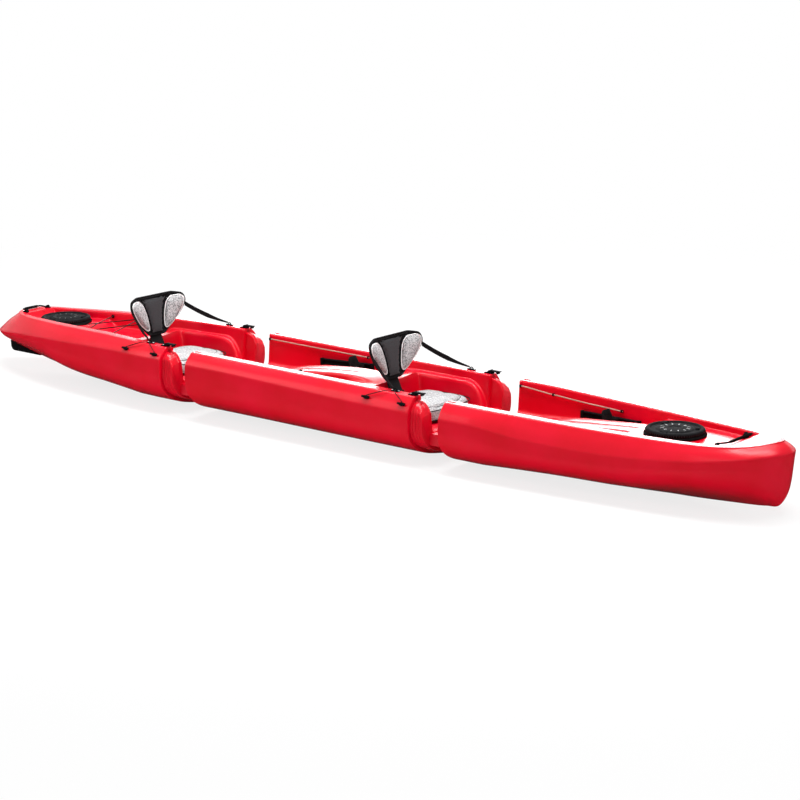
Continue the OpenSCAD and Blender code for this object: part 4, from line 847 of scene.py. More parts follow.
def eased(points, reach, steps=6):
    points = [Vector(p) for p in points]
    out = [points[0]]
    for a, p, b in zip(points, points[1:], points[2:]):
        u = p + (a - p).normalized() * min(reach, (a - p).length / 2)
        v = p + (b - p).normalized() * min(reach, (b - p).length / 2)
        out += bend(u, p, v, steps)
    return out + [points[-1]]


def evenLine(points, step, closed=False):
    points = [Vector(p) for p in points]
    if closed:
        points = points + [points[0]]
    runs = [0]
    for a, b in zip(points, points[1:]):
        runs.append(runs[-1] + (b - a).length)
    count = max(2, round(runs[-1] / step))
    out, i = [], 0
    for k in range(count + (0 if closed else 1)):
        at = runs[-1] * k / count
        while i < len(runs) - 2 and runs[i + 1] < at:
            i += 1
        out.append(points[i].lerp(points[i + 1], (at - runs[i]) / max(runs[i + 1] - runs[i], 1e-9)))
    return out


# cords: keepers from cleat to cleat through the pad eye, tank lacing, adjuster cords on the cockpit walls
keeper = {"at": (250, 44), "drop": 36, "foot": 3, "up": 8, "dia": 4, "eyeBack": 126, "eyeRise": 4, "loop": 8.4}
lacing = {"drop": 22, "off": 8.9, "dia": 5, "lift": 5}
wallRun = {"dia": 6, "off": 5.4, "stops": ((), ((10, 24), (230, 25), (450, 25), (650, 25)),
                                           ((10, 24), (203, 36), (400, 40), (590, 41)))}


def leanPoint(s, r, drop, off):
    o = outerHalf(s, r)
    foot, knuckle, top = Vector(o[7]), Vector(o[8]), Vector((o[9][0], sheer(s, r)))
    t = min(1, drop / (top.y - foot.y))
    a, b = (knuckle, foot) if t > .5 else (top, knuckle)
    p = a.lerp(b, 2 * t - 1 if t > .5 else 2 * t)
    w = (b - a).normalized()
    return Vector((rearX[s] + r, off * w.y - p.x, p.y + off * w.x))


def leanAngle(s, r):
    o = outerHalf(s, r)
    return math.atan2(o[7][0] - o[8][0], o[8][1] - o[7][1])


# a point over a cleat's foot: x along the boat, u up the lean, w out of it
def cleatSpot(s, back, x, u, w):
    r = boat["lens"][s] - back
    a = leanAngle(s, r)
    way = leanPoint(s, r + 9, keeper["drop"], 0) - leanPoint(s, r - 9, keeper["drop"], 0)
    turn = math.atan2(way.y, way.x)
    flat = leanPoint(s, r, keeper["drop"], .3)
    return flat + Vector((x * math.cos(turn), x * math.sin(turn) + u * math.sin(a) - w * math.cos(a),
                          u * math.cos(a) + w * math.sin(a)))


def keeperPath(s):
    n, d = boat["lens"][s], keeper["dia"]
    at = n - keeper["eyeBack"]
    eye = Vector((rearX[s] + at, -gunwaleMid(s, at), sheer(s, at) + keeper["eyeRise"] + .6 + d / 2))
    level = keeper["foot"] + .3 + d / 2

    def loop(back, hand):
        ring = [cleatSpot(s, back, hand * keeper["loop"] * math.sin(t), keeper["loop"] * math.cos(t),
                          level - .35) for t in (math.radians(k) for k in range(330, 0, -15))]
        return ring + [cleatSpot(s, back, 0, keeper["up"] + .6, level)]

    overA = leanPoint(s, at - 30, 0, 7) + Vector((0, 0, 3))
    overB = leanPoint(s, at + 22, 0, 7) + Vector((0, 0, 3))
    side = d * .65
    through = ((-side, -9, 0), (-side, 6, 0), (side, 6, 0), (side, -9, 0))
    run = [overA] + [eye + Vector(p) for p in through] + [overB]
    first, last = loop(keeper["at"][0], 1), loop(keeper["at"][1], -1)
    return first[:-1] + eased([first[-1]] + run + [last[-1]], 14) + last[-2::-1]


def eyeletSpot(s, r, drop, off, side):
    w, top = insideZ(wallLines, s, r), sheer(s, r)
    y = innerY(s, r) - drop / (top - w) * wallDraft(w, top)
    return Vector((rearX[s] + r, side * (y - off), top - drop))


def addCord(name, points, diameter, finish, body, node, step=4):
    points = evenLine(points, step)
    piece = tubePiece(name, points, diameter, finish)
    settle(piece, body, node)


for s, body in ((0, "stern"), (1, "mid")):
    addCord(body + "KeeperCord", keeperPath(s), keeper["dia"], "shockCord", body, body + "_keeper_bungee", 2.5)
tankEyes = (sternDeckEnd + 25, sternDeckEnd + 200, humpAt[0] - 100)
portEyes, stbdEyes = [[eyeletSpot(0, r, lacing["drop"], lacing["off"], side) for r in tankEyes]
                      for side in (1, -1)]
lift = Vector((0, 0, lacing["lift"]))
addCord("tankLacingLow", eased([stbdEyes[0], portEyes[1], stbdEyes[2]], 3), lacing["dia"], "shockCord", "stern",
        "tank_bungee")
over = [portEyes[0], portEyes[0].lerp(stbdEyes[1], .5) + lift, stbdEyes[1],
        stbdEyes[1].lerp(portEyes[2], .5) + lift, portEyes[2]]
addCord("tankLacingOver", eased(over, 3), lacing["dia"], "shockCord", "stern", "tank_bungee")
for s, body in ((1, "mid"), (2, "bow")):
    for side, hand, _ in hands:
        route = []
        for k, (r, drop) in enumerate(wallRun["stops"][s]):
            route += [eyeletSpot(s, r + d, drop, wallRun["off"], side)
                      for d in ((0, 30) if k == 0 else (-30, 0))]
        addCord(body + "WallCord" + hand, eased(route, 40), wallRun["dia"], "wallCord", body, body + "_cords")
print("cords laid")

# small fittings: the solids' own shapes with their edges rounded
edging = {"sharp": 30, "flat": 1, "segments": 2}


def edgedCopy(name, node, finish, body, width):
    mesh = nodes[node].data.copy()
    bm = bmesh.new()
    bm.from_mesh(mesh)
    bmesh.ops.remove_doubles(bm, verts=bm.verts, dist=0.00001)
    bmesh.ops.dissolve_limit(bm, angle_limit=math.radians(edging["flat"]), verts=bm.verts, edges=bm.edges)
    rims = [e for e in bm.edges if len(e.link_faces) == 2 and e.calc_face_angle(0) > math.radians(edging["sharp"])]
    bmesh.ops.bevel(bm, geom=rims, offset=width * mm, segments=edging["segments"], profile=.5, affect="EDGES",
                    clamp_overlap=True)
    bm.to_mesh(mesh)
    bm.free()
    settle(newPiece(name, mesh, finish, 40), body, node)


# name, end of the node's name, bodies and width of the rounding
fixedFittings = (
    ("PadEyes", "pad_eyes", ("stern", "mid"), 0.8), ("LatchBases", "latch_bases", ("stern", "mid"), 0.8),
    ("KeeperCleats", "keeper_cleats", ("stern", "mid"), 0.9), ("Rails", "rails", ("mid", "bow"), 0.8),
    ("CordEyes", "cord_eyes", ("mid", "bow"), 0.5), ("HandleLugs", "handle_lugs", ("stern", "bow"), 1.0),
)
movingFittings = (("Latch", "latch", ("stern", "mid"), 0.9), ("Pedal", "pedal", ("mid", "bow"), 1.0))
edgedCopy("skegFin", "skeg", "black", "stern", 3.0)
edgedCopy("tankEyelets", "tank_eyelets", "black", "stern", 0.5)
for label, ending, bodies, width in fixedFittings:
    for body in bodies:
        edgedCopy(modules[body] + label, f"{body}_{ending}", "black", body, width)
for label, ending, bodies, width in movingFittings:
    for body in bodies:
        for side, hand, nodeHand in hands:
            node = f"{body}_{ending}_{nodeHand}"  # the body has the node's name
            edgedCopy(modules[body] + label + hand, node, "dark", node, width)
for seatName, body, backBody in seatNames:
    edgedCopy(seatName + "SeatSaddle", seatName + "_seat_saddle", "black", body, 0.8)
    edgedCopy(seatName + "BackStem", seatName + "_back_stem", "binding", backBody, 2.0)
print("fittings edged")


# turned pieces about an upright axis
def latheMesh(name, profile, steps=96):
    verts, faces = [], []
    n = len(profile)
    for k in range(steps):
        a = 2 * math.pi * k / steps
        verts += [(r * math.cos(a), r * math.sin(a), z) for r, z in profile]
    for k in range(steps):
        for j in range(n - 1):
            a, b = k * n + j, ((k + 1) % steps) * n + j
            faces.append((a, b, b + 1, a + 1))
    return newMesh(name, verts, faces)


def roundedProfile(points, rounds, steps=4):
    out = [Vector(points[0])]
    for i in range(1, len(points) - 1):
        p = Vector(points[i])
        ends = []
        for q in (points[i - 1], points[i + 1]):
            way = Vector(q) - p
            ends.append(p + way * min(rounds[i] / max(way.length, 1e-6), .48))
        out += bend(ends[0], p, ends[1], steps)
    return [tuple(p) for p in out + [Vector(points[-1])]]


def moved(mesh, x, y, z):
    mesh.transform(Matrix.Translation((x * mm, y * mm, z * mm)))
    return mesh


hatch = {"rim": 12, "lid": 18, "ribs": 72, "spokes": 12, "spokeAt": 50}


# spots round an upright axis, each turned with its place
def ringSpots(x, radius, level, count, start, turn):
    angles = [2 * math.pi * (k + start) / count for k in range(count)]
    return [((x + radius * math.cos(a), radius * math.sin(a), level), (0, 0, a + turn)) for a in angles]


def addHatch(s, at, body, lidBody):
    x = rearX[s] + at
    bore, out, high = boat["hatchBore"] / 2, boat["lidDia"] / 2 + 7, hatch["rim"]
    shape = [(bore, 0), (out, 0), (out, high * .5), (out - 3, high * .8), (out - 8, high), (bore, high),
             (bore, 0)]
    rimMesh = latheMesh("rim", roundedProfile(shape, (0, 1, 2, 3, 3, 1.5, 0)))
    rim = newPiece(body + "HatchRim", moved(rimMesh, x, 0, deck + .3), "rubber")
    settle(rim, body, body + "_hatch_rim")
    r, b, t = boat["lidDia"] / 2, bore - 2, hatch["lid"]
    shape = [(0, -high), (b - 4, -high), (b, 4 - high), (b, 0), (r - 2, 0), (r, 3), (r, t * .55),
             (r - 3, t * .85), (r - 9, t), (r - 18, t), (r - 24, t * .68), (r - 44, t * .68),
             (r - 52, t * .9), (28, t), (22, t * .86), (0, t * .86)]
    rounds = (0, 3, 3, 1, 1.5, 2, 4, 4, 4, 3, 3, 4, 5, 3, 3, 0)
    level = deck + high + .6
    lidMesh = latheMesh("lid", roundedProfile(shape, rounds), 128)
    lid = newPiece(body + "HatchLid", moved(lidMesh, x, 0, level), "dark")
    settle(lid, lidBody, body + "_hatch_lid")
    rib = prismMesh("rib", [(-1.1, -1.6), (1.1, -1.6), (.7, 1.6), (-.7, 1.6)], 3.4, t * .52)
    spots = ringSpots(x, r - .7, level, hatch["ribs"], 0, -math.pi / 2)
    settle(copiesPiece(body + "LidRibs", spots, rib, "gloss"), lidBody)
    web = prismMesh("web", [(-14, -1.5), (14, -1.5), (14, 1.5), (-14, 1.5)], t * .86, t * .955)
    spots = ringSpots(x, hatch["spokeAt"], level, hatch["spokes"], .5, 0)
    settle(copiesPiece(body + "LidSpokes", spots, web, "gloss"), lidBody)
    edgedCopy(body + "LidGrip", body + "_lid_grip", "black", lidBody, 1.0)


addHatch(0, boat["sternHatch"], "stern", "stern_lid")
addHatch(2, boat["bowHatch"], "bow", "bow_lid")
print("hatches turned")

# carry handles: bent rod in two lugs, grip sleeve with finger rings
handle = {"at": (276, 0, bowDeckEnd - 28), "span": (76, 0, 114), "lug": 14, "pivot": (8.3, 0, 24.3),
          "reach": 44, "bend": 14,
          "rod": 8, "grip": 3, "turn": (180, 0, -14)}


def addHandle(s, body):
    base = Matrix.Translation((rearX[s] + handle["at"][s], 0,
                               (sheer(0, 0) if s == 0 else deck) + handle["pivot"][s]))
    base = base @ Matrix.Rotation(math.radians(handle["turn"][s]), 4, "Y")
    half, reach, d = handle["span"][s], handle["reach"], handle["rod"]
    w = half - handle["lug"] / 2 - 4 - d / 2
    out = half + handle["lug"] / 2 + 3
    route = [(0, -out, 0), (0, -w, 0), (reach, -w, 0), (reach, w, 0), (0, w, 0), (0, out, 0)]
    points = [Vector(route[0])]
    for a, p, b, r in zip(route, route[1:], route[2:], (4, handle["bend"], handle["bend"], 4)):
        points += eased([a, p, b], r, 8)[1:-1]
    rod = tubePiece(body + "HandleRod", [base @ p for p in points + [Vector(route[-1])]], d, "black")
    settle(rod, body + "_handle", body + "_handle_rod")
    g = half - handle["lug"] / 2 - d / 2 - handle["bend"] - 8
    a, t = d / 2, handle["grip"]
    shape = [(a + .2, -g), (a + t * .6, -g), (a + t * .9, 5 - g)]
    rings = max(4, round(2 * (g - 8) / 11))
    for k in range(rings):
        y = mix(8 - g, g - 8, (k + .5) / rings)
        shape += [(a + t * .98, y - 3.6), (a + t * .6, y - 1.2), (a + t * .6, y + 1.2), (a + t * .98, y + 3.6)]
    shape += [(a + t * .9, g - 5), (a + t * .6, g), (a + .2, g), (a + .2, -g)]
    mesh = latheMesh("grip", roundedProfile(shape, [1.2] * len(shape), 3), 40)
    mesh.transform(Matrix.Rotation(math.radians(-90), 4, "X"))
    place = base @ Matrix.Translation((reach, 0, 0))
    place.translation = place.translation * mm
    mesh.transform(place)
    settle(newPiece(body + "HandleGrip", mesh, "rubber"), body + "_handle", body + "_handle_grip")


addHandle(0, "stern")
addHandle(2, "bow")
print("handles bent")

# screws: crossed pan heads on the feet of the pad eyes and of the latch bases
screwHead = {"dia": 6.4, "high": 2.2, "slot": 0.9}
# each screw's place back from the shoulder, and along the foot
screwSpots = ((keeper["eyeBack"], -18.5), (keeper["eyeBack"], 18.5), (16, -22))
footThick = 4.2


def screwMesh():
    r, h = screwHead["dia"] / 2, screwHead["high"]
    profile = [(0, 0), (r, 0), (r, h * .5), (r * .86, h * .8), (r * .6, h), (0, h)]
    head = bpy.data.objects.new("head", latheMesh("head", profile, 24))
    scene.collection.objects.link(head)
    for a, b in ((r * .62, screwHead["slot"] / 2), (screwHead["slot"] / 2, r * .62)):
        carve(head, prismMesh("slot", [(-a, -b), (a, -b), (a, b), (-a, b)], h * .45, h + 1))
    mesh = head.data
    bpy.data.objects.remove(head)
    return mesh


def addScrews(s, body):
    spots = []
    for side in (1, -1):
        for back, shift in screwSpots:
            r = boat["lens"][s] - back
            tilt = -math.atan2(sheer(s, r + 1) - sheer(s, r - 1), 2)
            off = Matrix.Rotation(tilt, 3, "Y") @ Vector((shift, 0, footThick))
            spots.append((Vector((rearX[s] + r, side * gunwaleMid(s, r), sheer(s, r) + .3)) + off,
                          (0, tilt, .4 * side + shift)))
    settle(copiesPiece(body + "Screws", spots, screwMesh(), "steel"), body, body + "_screws")


addScrews(0, "stern")
addScrews(1, "mid")

# foot braces: detent notches along the rails, ribs over the pedals
brace = {
    "from": (0, 354, 366), "len": 330, "deep": 12, "high": 30, "gap": 1.9, "pitch": 13, "tilt": 12,
    "z": (None, (231, 247), (211, 216)), "pedal": (0, 262, 196),
    "frontRibs": (14, 23, 32, 41, 50), "backRibs": (18, 32, 46),
}


def wallY(s, r, z):
    w, top = insideZ(wallLines, s, r), sheer(s, r)
    return innerY(s, r) - wallDraft(w, top) * (1 - (z - w) / (top - w))


def railFrame(s, side):
    ends = []
    for r, z in zip((brace["from"][s], brace["from"][s] + brace["len"]), brace["z"][s]):
        ends.append(Vector((rearX[s] + r, wallY(s, r, z) - brace["gap"], z)))
    v = ends[1] - ends[0]
    heading, climb = math.atan2(v.y, v.x), math.asin(v.z / v.length)
    turn = Matrix.Rotation(heading, 4, "Z") @ Matrix.Rotation(-climb, 4, "Y")
    frameOf = Matrix.Translation(ends[0]) @ turn @ Matrix.Diagonal((1, -1, 1, 1))
    return Matrix.Diagonal((1, side, 1, 1)) @ frameOf


def boxMesh(name, low, high):
    return prismMesh(name, [(low[0], low[1]), (high[0], low[1]), (high[0], high[1]), (low[0], high[1])], low[2],
                     high[2])


def addBraceDetail(s, body):
    notch = boxMesh("notch", (-2.2, -.5, -1.6), (2.2, .5, 1.6))
    spots = []
    for side in (1, -1):
        place = railFrame(s, side)
        turn = (place.to_3x3() @ Matrix.Diagonal((1, side * -1, 1))).to_euler()
        count = int((brace["len"] - 44) / brace["pitch"])
        for k in range(count + 1):
            for z in (-brace["high"] / 2 + 5, brace["high"] / 2 - 5):
                spots.append((place @ Vector((22 + k * brace["pitch"], brace["deep"] + .2, z)), turn))
    settle(copiesPiece(body + "RailNotches", spots, notch, "dark"), body)
    for side, _, hand in hands:
        place = railFrame(s, side) @ Matrix.Translation((brace["pedal"][s], 0, 0))
        plate = place @ Matrix.Translation((-15, brace["deep"] + 2.6, -brace["high"] / 2 + 3))
        plate = plate @ Matrix.Rotation(math.radians(-brace["tilt"]), 4, "Y")
        turn = (plate.to_3x3() @ Matrix.Diagonal((1, side * -1, 1))).to_euler()
        rib = boxMesh("rib", (-1, -21, -1.5), (.6, 21, 1.5))
        spots = [(plate @ Vector((-.1, 33, z)), turn) for z in brace["frontRibs"]]
        back = [(plate @ Vector((7.4, 33, z)), turn) for z in brace["backRibs"]]
        settle(copiesPiece(body + "PedalRibs" + hand.title(), spots + back, rib, "dark"),
               body + "_pedal_" + hand)


addBraceDetail(1, "mid")
addBraceDetail(2, "bow")
print("screws and foot brace detail set")

# seats: sewn pads on a shield-shaped back, a crowned cushion, straps to the pad eyes
seat = {"hinge": (348, 214), "recline": 10, "half": 188, "high": 272, "wrap": 42,
        "cushion": (310, 396, 54, 13, 149.5), "cushionBack": 179}
backLine = ((.27, .26), (.36, .42), (.5, .67), (.68, .9), (.82, 1), (.93, .95), (1, .62))
panelLine = ((.29, .2), (.5, .24), (.72, .31), (.9, .41), (.965, .46))
padIn = ((.36, .32), (.42, .29), (.55, .31), (.72, .37), (.86, .47), (.93, .6))
padOut = ((.36, .36), (.42, .5), (.55, .72), (.72, .9), (.86, .95), (.93, .82))


def backSpot(s, u, y, w):
    a = math.radians(seat["recline"])
    w = w + seat["wrap"] * (y / seat["half"]) ** 2
    return Vector((shoulderX[s] - seat["hinge"][0] - u * math.sin(a) + w * math.cos(a), y,
                   seat["hinge"][1] + u * math.cos(a) + w * math.sin(a)))


# a layer of the back between two edge lines, with a full front and thin rounded rims
def layerMesh(name, s, inner, outer, start, stop, base, edge, crown, side, rows=30, cols=22, power=2.4):
    halves = []
    for i in range(rows + 1):
        v = .5 - .5 * math.cos(math.pi * i / rows)
        t = mix(start, stop, v)
        a, b = along(inner, t) * seat["half"] if inner else 0, along(outer, t) * seat["half"]
        low = a if side else -b
        fade = min(1, 4.5 * min(v, 1 - v) + .04) ** .6
        ring = []
        for j in range(cols + 1):
            h = .5 - .5 * math.cos(math.pi * j / cols)
            y = mix(low, b, h) * (side or 1)
            full = 1 - abs(2 * h - 1) ** power
            ring.append(backSpot(s, t * seat["high"], y, base + edge + crown * full * fade))
        for j in range(cols, -1, -1):
            h = .5 - .5 * math.cos(math.pi * j / cols)
            ring.append(backSpot(s, t * seat["high"], mix(low, b, h) * (side or 1), base))
        halves.append(ring)
    n = len(halves[0])
    verts = [p for ring in halves for p in ring]
    faces = bandFaces(rows + 1, n)
    for lead in (0, rows * n):
        faces += [(lead + j, lead + j + 1, lead + n - 2 - j, lead + n - 1 - j) for j in range(cols)]
    return newMesh(name, verts, faces)


def layerEdge(s, inner, outer, start, stop, w, side, rows=40):
    up, down = [], []
    for i in range(rows + 1):
        t = mix(start, stop, i / rows)
        b = along(outer, t) * seat["half"] * (side or 1)
        a = along(inner, t) * seat["half"] * side if inner else -b
        up.append(backSpot(s, t * seat["high"], b, w))
        down.append(backSpot(s, t * seat["high"], a, w))
    return up + down[::-1]


# a seam's closed line along the edge of a layer, at an even step and eased
def seamLine(edge, step, passes):
    return rounded(evenLine(edge, step, True), passes)


def rounded(points, passes):
    for k in range(passes):
        n = len(points)
        points = [points[i - 1] * .25 + points[i] * .5 + points[(i + 1) % n] * .25 for i in range(n)]
    return points


# padding by cloth pressure: even mesh, air inside, each point held within the cap
padding = {"pressure": 4.0, "frames": 20}


def puffed(mesh, voxel, cap, held=None):
    obj = bpy.data.objects.new("pad", mesh)
    scene.collection.objects.link(obj)

    def baked(modifier):
        result = evaluatedMesh(obj)
        obj.modifiers.remove(modifier)
        return result

    even = obj.modifiers.new("even", "REMESH")
    even.mode, even.voxel_size = "VOXEL", voxel * mm
    obj.data = baked(even)
    rest = [v.co.copy() for v in obj.data.vertices]
    air = obj.modifiers.new("air", "CLOTH")
    air.settings.use_pressure = True
    air.settings.uniform_pressure_force = padding["pressure"]
    air.settings.effector_weights.gravity = 0
    if held:
        group = obj.vertex_groups.new(name="held")
        group.add([v.index for v in obj.data.vertices if held(v.co / mm)], 1.0, "REPLACE")
        air.settings.vertex_group_mass = "held"
    air.point_cache.frame_start, air.point_cache.frame_end = 1, padding["frames"]
    for k in range(1, padding["frames"] + 1):
        scene.frame_set(k)
    blown = baked(air)
    for v, start in zip(blown.vertices, rest):
        way = v.co - start
        if way.length > cap * mm:
            v.co = start + way * (cap * mm / way.length)
    scene.frame_set(1)
    obj.vertex_groups.clear()
    obj.data = blown
    ease = obj.modifiers.new("ease", "SMOOTH")
    ease.factor, ease.iterations = .5, 3
    obj.data = baked(ease)
    fine = obj.modifiers.new("fine", "SUBSURF")
    fine.levels = fine.render_levels = 1
    result = baked(fine)
    bpy.data.objects.remove(obj)
    return result


# presses a sewn line into a pad: points near the line go in along their normal
def sewn(mesh, line, wide, deep):
    points = evenLine(line, 2, True)
    tree = KDTree(len(points))
    for i, p in enumerate(points):
        tree.insert(p * mm, i)
    tree.balance()
    for v in mesh.vertices:
        gap = tree.find(v.co)[2] / mm
        if gap < wide * 3:
            v.co -= v.normal * (deep * mm * math.exp(-(gap / wide) ** 2))
    return mesh


def shifted(mesh, x):
    out = mesh.copy()
    out.transform(Matrix.Translation((x * mm, 0, 0)))
    return out


def flipped(mesh):
    out = mesh.copy()
    out.transform(Matrix.Diagonal((1, -1, 1, 1)))
    out.flip_normals()
    return out


def corner(a):
    return (abs(math.cos(a)) ** 4 + abs(math.sin(a)) ** 4) ** -.25


def cushionLoop(s, scale, z, count=120):
    long, wide = seat["cushion"][0] / 2 * scale, seat["cushion"][1] / 2 * scale
    x = shoulderX[s] - seat["cushionBack"]
    return [Vector((x + long * corner(a) * math.cos(a), wide * corner(a) * math.sin(a), z))
            for a in (2 * math.pi * k / count for k in range(count))]


def cushionMesh(s):
    thick, crown, low = seat["cushion"][2:]
    rings = ((.93, 0), (.975, 4), (.99, .5 * thick), (.975, .85 * thick), (.93, thick), (.84, thick + 4),
             (.7, thick + 7), (.45, thick + 10), (.2, thick + crown - 1))
    verts, faces, n = [], [], 80
    for scale, z in rings:
        verts += cushionLoop(s, scale, low + z, n)
    x = shoulderX[s] - seat["cushionBack"]
    verts += [Vector((x, 0, low)), Vector((x, 0, low + thick + crown - 1))]
    for i in range(len(rings) - 1):
        faces += [(i * n + j, i * n + (j + 1) % n, (i + 1) * n + (j + 1) % n, (i + 1) * n + j)
                  for j in range(n)]
    last = (len(rings) - 1) * n
    faces += [(len(verts) - 2, (j + 1) % n, j) for j in range(n)]
    faces += [(len(verts) - 1, last + j, last + (j + 1) % n) for j in range(n)]
    return newMesh("cushion", verts, faces)


def droppedOn(mesh, loop, lift):
    tree = BVHTree.FromPolygons([v.co for v in mesh.vertices], [tuple(p.vertices) for p in mesh.polygons])
    out = []
    for p in loop:
        hit = tree.ray_cast(Vector((p.x * mm, p.y * mm, 1)), Vector((0, 0, -1)))[0]
        out.append(Vector((p.x, p.y, hit.z / mm + lift)) if hit else p)
    return out


seatPads = {
    "channel": (.79, 5, 3.2), "piping": 3.4, "whitePiping": 5.6, "welt": 5, "binding": 9.5, "stitch": 5.5,
    "cushion": (6, 8), "pad": (4, 5), "panel": (4, 4),  # voxel and cap of the padding
    "padLayer": (.365, .925, 2.2, 3, 12.5), "panelLayer": (.295, .96, 2.2, 2.6, 6.5),
    "shellLayer": (.27, 1, -10, 6, 3.4),  # from, to, base, edge and crown of each layer
}
cushionLow = seat["cushion"][4]
channelAt, channelWide, channelDeep = seatPads["channel"]
cushionBase = puffed(cushionMesh(0), *seatPads["cushion"], lambda p: p.z < cushionLow + 2.5)
channel = droppedOn(cushionBase, cushionLoop(0, channelAt, cushionLow + 40), 0)
sewn(cushionBase, channel, channelWide, channelDeep)
channel = rounded(droppedOn(cushionBase, channel, .4), 2)
padBase = puffed(layerMesh("pad", 0, padIn, padOut, *seatPads["padLayer"], 1), *seatPads["pad"])
panelBase = puffed(layerMesh("panel", 0, None, panelLine, *seatPads["panelLayer"], 0), *seatPads["panel"])
print("pads puffed")


def stitchMesh():
    mesh = latheMesh("stitch", [(0, -1.7), (.34, -1.45), (.5, -.6), (.5, .6), (.34, 1.45), (0, 1.7)], 6)
    mesh.transform(Matrix.Rotation(math.radians(90), 4, "X"))
    return mesh


def stitchSpots(points):
    points = evenLine(points, seatPads["stitch"], True)
    n = len(points)
    ways = [points[(i + 1) % n] - points[i - 1] for i in range(n)]
    return [(p, way.to_track_quat("Y", "Z").to_euler()) for p, way in zip(points, ways)]


def addPiping(name, loop, width, body, finish="binding"):
    settle(tubePiece(name, loop, width, finish, True), body)


def addSeat(s):
    seatName, body, backBody = seatNames[s]
    shift = shoulderX[s] - shoulderX[0]
    move = Vector((shift, 0, 0))
    cushion = newPiece(seatName + "Cushion", shifted(cushionBase, shift), "melange", 0)
    settle(cushion, body, seatName + "_cushion")
    addPiping(seatName + "CushionPiping", [p + move for p in channel], seatPads["piping"], body)
    for z, tag in ((cushionLow + 6, "Low"), (cushionLow + seat["cushion"][2] - 3, "High")):
        addPiping(seatName + "CushionWelt" + tag, cushionLoop(s, .993, z), seatPads["welt"], body)

    shellMesh = layerMesh("shell", s, None, backLine, *seatPads["shellLayer"], 0, 44, 40, 6)
    settle(newPiece(seatName + "BackShell", shellMesh, "binding", 60), backBody, seatName + "_back_frame")
    rim = seamLine(layerEdge(s, None, backLine, .275, .995, -3.6, 0), 5, 3)
    addPiping(seatName + "BackBinding", rim, seatPads["binding"], backBody)
    inset = tuple((t, v * .93) for t, v in backLine)
    inside = seamLine(layerEdge(s, None, inset, .3, .975, .35, 0), 5, 4)
    settle(copiesPiece(seatName + "BackStitches", stitchSpots(inside), stitchMesh(), "charcoal"), backBody)

    panel = newPiece(seatName + "BackPanel", shifted(panelBase, shift), "charcoal", 0)
    settle(panel, backBody, seatName + "_back_panel")
    line = seamLine(layerEdge(s, None, panelLine, .297, .958, 2.4, 0), 4, 3)
    addPiping(seatName + "PanelPiping", line, 3, backBody)
    for side, hand, nodeHand in hands:
        mesh = shifted(padBase if side > 0 else flipped(padBase), shift)
        pad = newPiece(seatName + "BackPad" + hand, mesh, "melange", 0)
        settle(pad, backBody, seatName + "_pad_" + nodeHand)
        line = seamLine(layerEdge(s, padIn, padOut, .366, .924, 4.6, side), 4, 3)
        addPiping(seatName + "PadPiping" + hand, line, seatPads["whitePiping"], backBody, "whitePiping")


for s in (0, 1):
    addSeat(s)
print("seats sewn")

# straps: webbing from the back's edge to the pad eye, narrowing to a cord hook
strap = {"high": .74, "wide": 24, "tip": 7, "thick": 2.4, "sag": 10, "steps": 40}


def strapLine(s, side):
    at = boat["lens"][s] - keeper["eyeBack"]
    y = seat["half"] * along(backLine, strap["high"]) + 2
    a = backSpot(s, strap["high"] * seat["high"], side * y, 0)
    lean = math.radians(seat["recline"])
    ahead = seat["wrap"] - 3 - seat["wrap"] * (y / seat["half"]) ** 2
    a = a + Vector((math.cos(lean), 0, math.sin(lean))) * ahead
    b = Vector((rearX[s] + at - 10.5, side * gunwaleMid(s, at), sheer(s, at) + keeper["eyeRise"] + 9))
    return a, b


def addStrap(s, side, hand, nodeHand):
    seatName, body, backBody = seatNames[s]
    a, b = strapLine(s, side)
    flat = Vector((b.x - a.x, b.y - a.y, 0)).normalized()
    out = Vector((-flat.y, flat.x, 0)) * (strap["thick"] / 2)
    verts, n = [], strap["steps"]
    for i in range(n + 1):
        t = i / n
        c = a.lerp(b, t) - Vector((0, 0, strap["sag"] * 4 * t * (1 - t)))
        h = mix(strap["wide"], strap["tip"], max(0, (t - .55) / .45) ** .8) / 2
        ring = [(1, -h + .5), (1, 0), (1, h - .5), (.5, h), (-.5, h), (-1, h - .5), (-1, 0), (-1, -h + .5),
                (-.5, -h), (.5, -h)]
        verts += [c + out * o + Vector((0, 0, z)) for o, z in ring]
    k = len(ring)
    faces = bandFaces(n + 1, k) + [tuple(range(k)), tuple(range(n * k, n * k + k))]
    name = seatName + "Strap" + hand
    piece = newPiece(name, newMesh(name, verts, faces), "webbing", 50)
    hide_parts(seatName + "_strap_" + nodeHand)
    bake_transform(piece)


for s in (0, 1):
    for side, hand, nodeHand in hands:
        addStrap(s, side, hand, nodeHand)
print("straps hung")

# stage: pale floor with a soft shadow, white surround, two lamps to starboard, a bar and a sheet overhead
# and a bright sheet behind
studio = {"floor": (0.72, 0.72, 0.72), "floorGlow": 0.8, "near": 2.6, "far": 5.5, "fill": 0.5, "mirrored": 0.04,
          "size": 240, "under": 0.0006}
lamps = (
    {"name": "keyLamp", "at": (2.6, -6.2, 6.4), "aim": (0, 0, 0.2), "size": (5, 3.5), "power": 85},
    {"name": "sternLamp", "at": (-6.2, -5.2, 4.4), "aim": (-0.6, 0, 0.2), "size": (4, 3), "power": 105},
    {"name": "overheadBar", "at": (0.2, 0, 2.7), "aim": (0.2, 0, 0), "size": (6.2, 0.5), "power": 170},
    {"name": "backSheet", "at": (-5.9, 9.8, 3.4), "aim": (-2.4, 0, 0.3), "size": (8.2, 3.6), "power": 1020},
    {"name": "topSheet", "at": (-0.4, 0.6, 6.5), "aim": (0, 0, 0), "size": (7, 3), "power": 230},
)


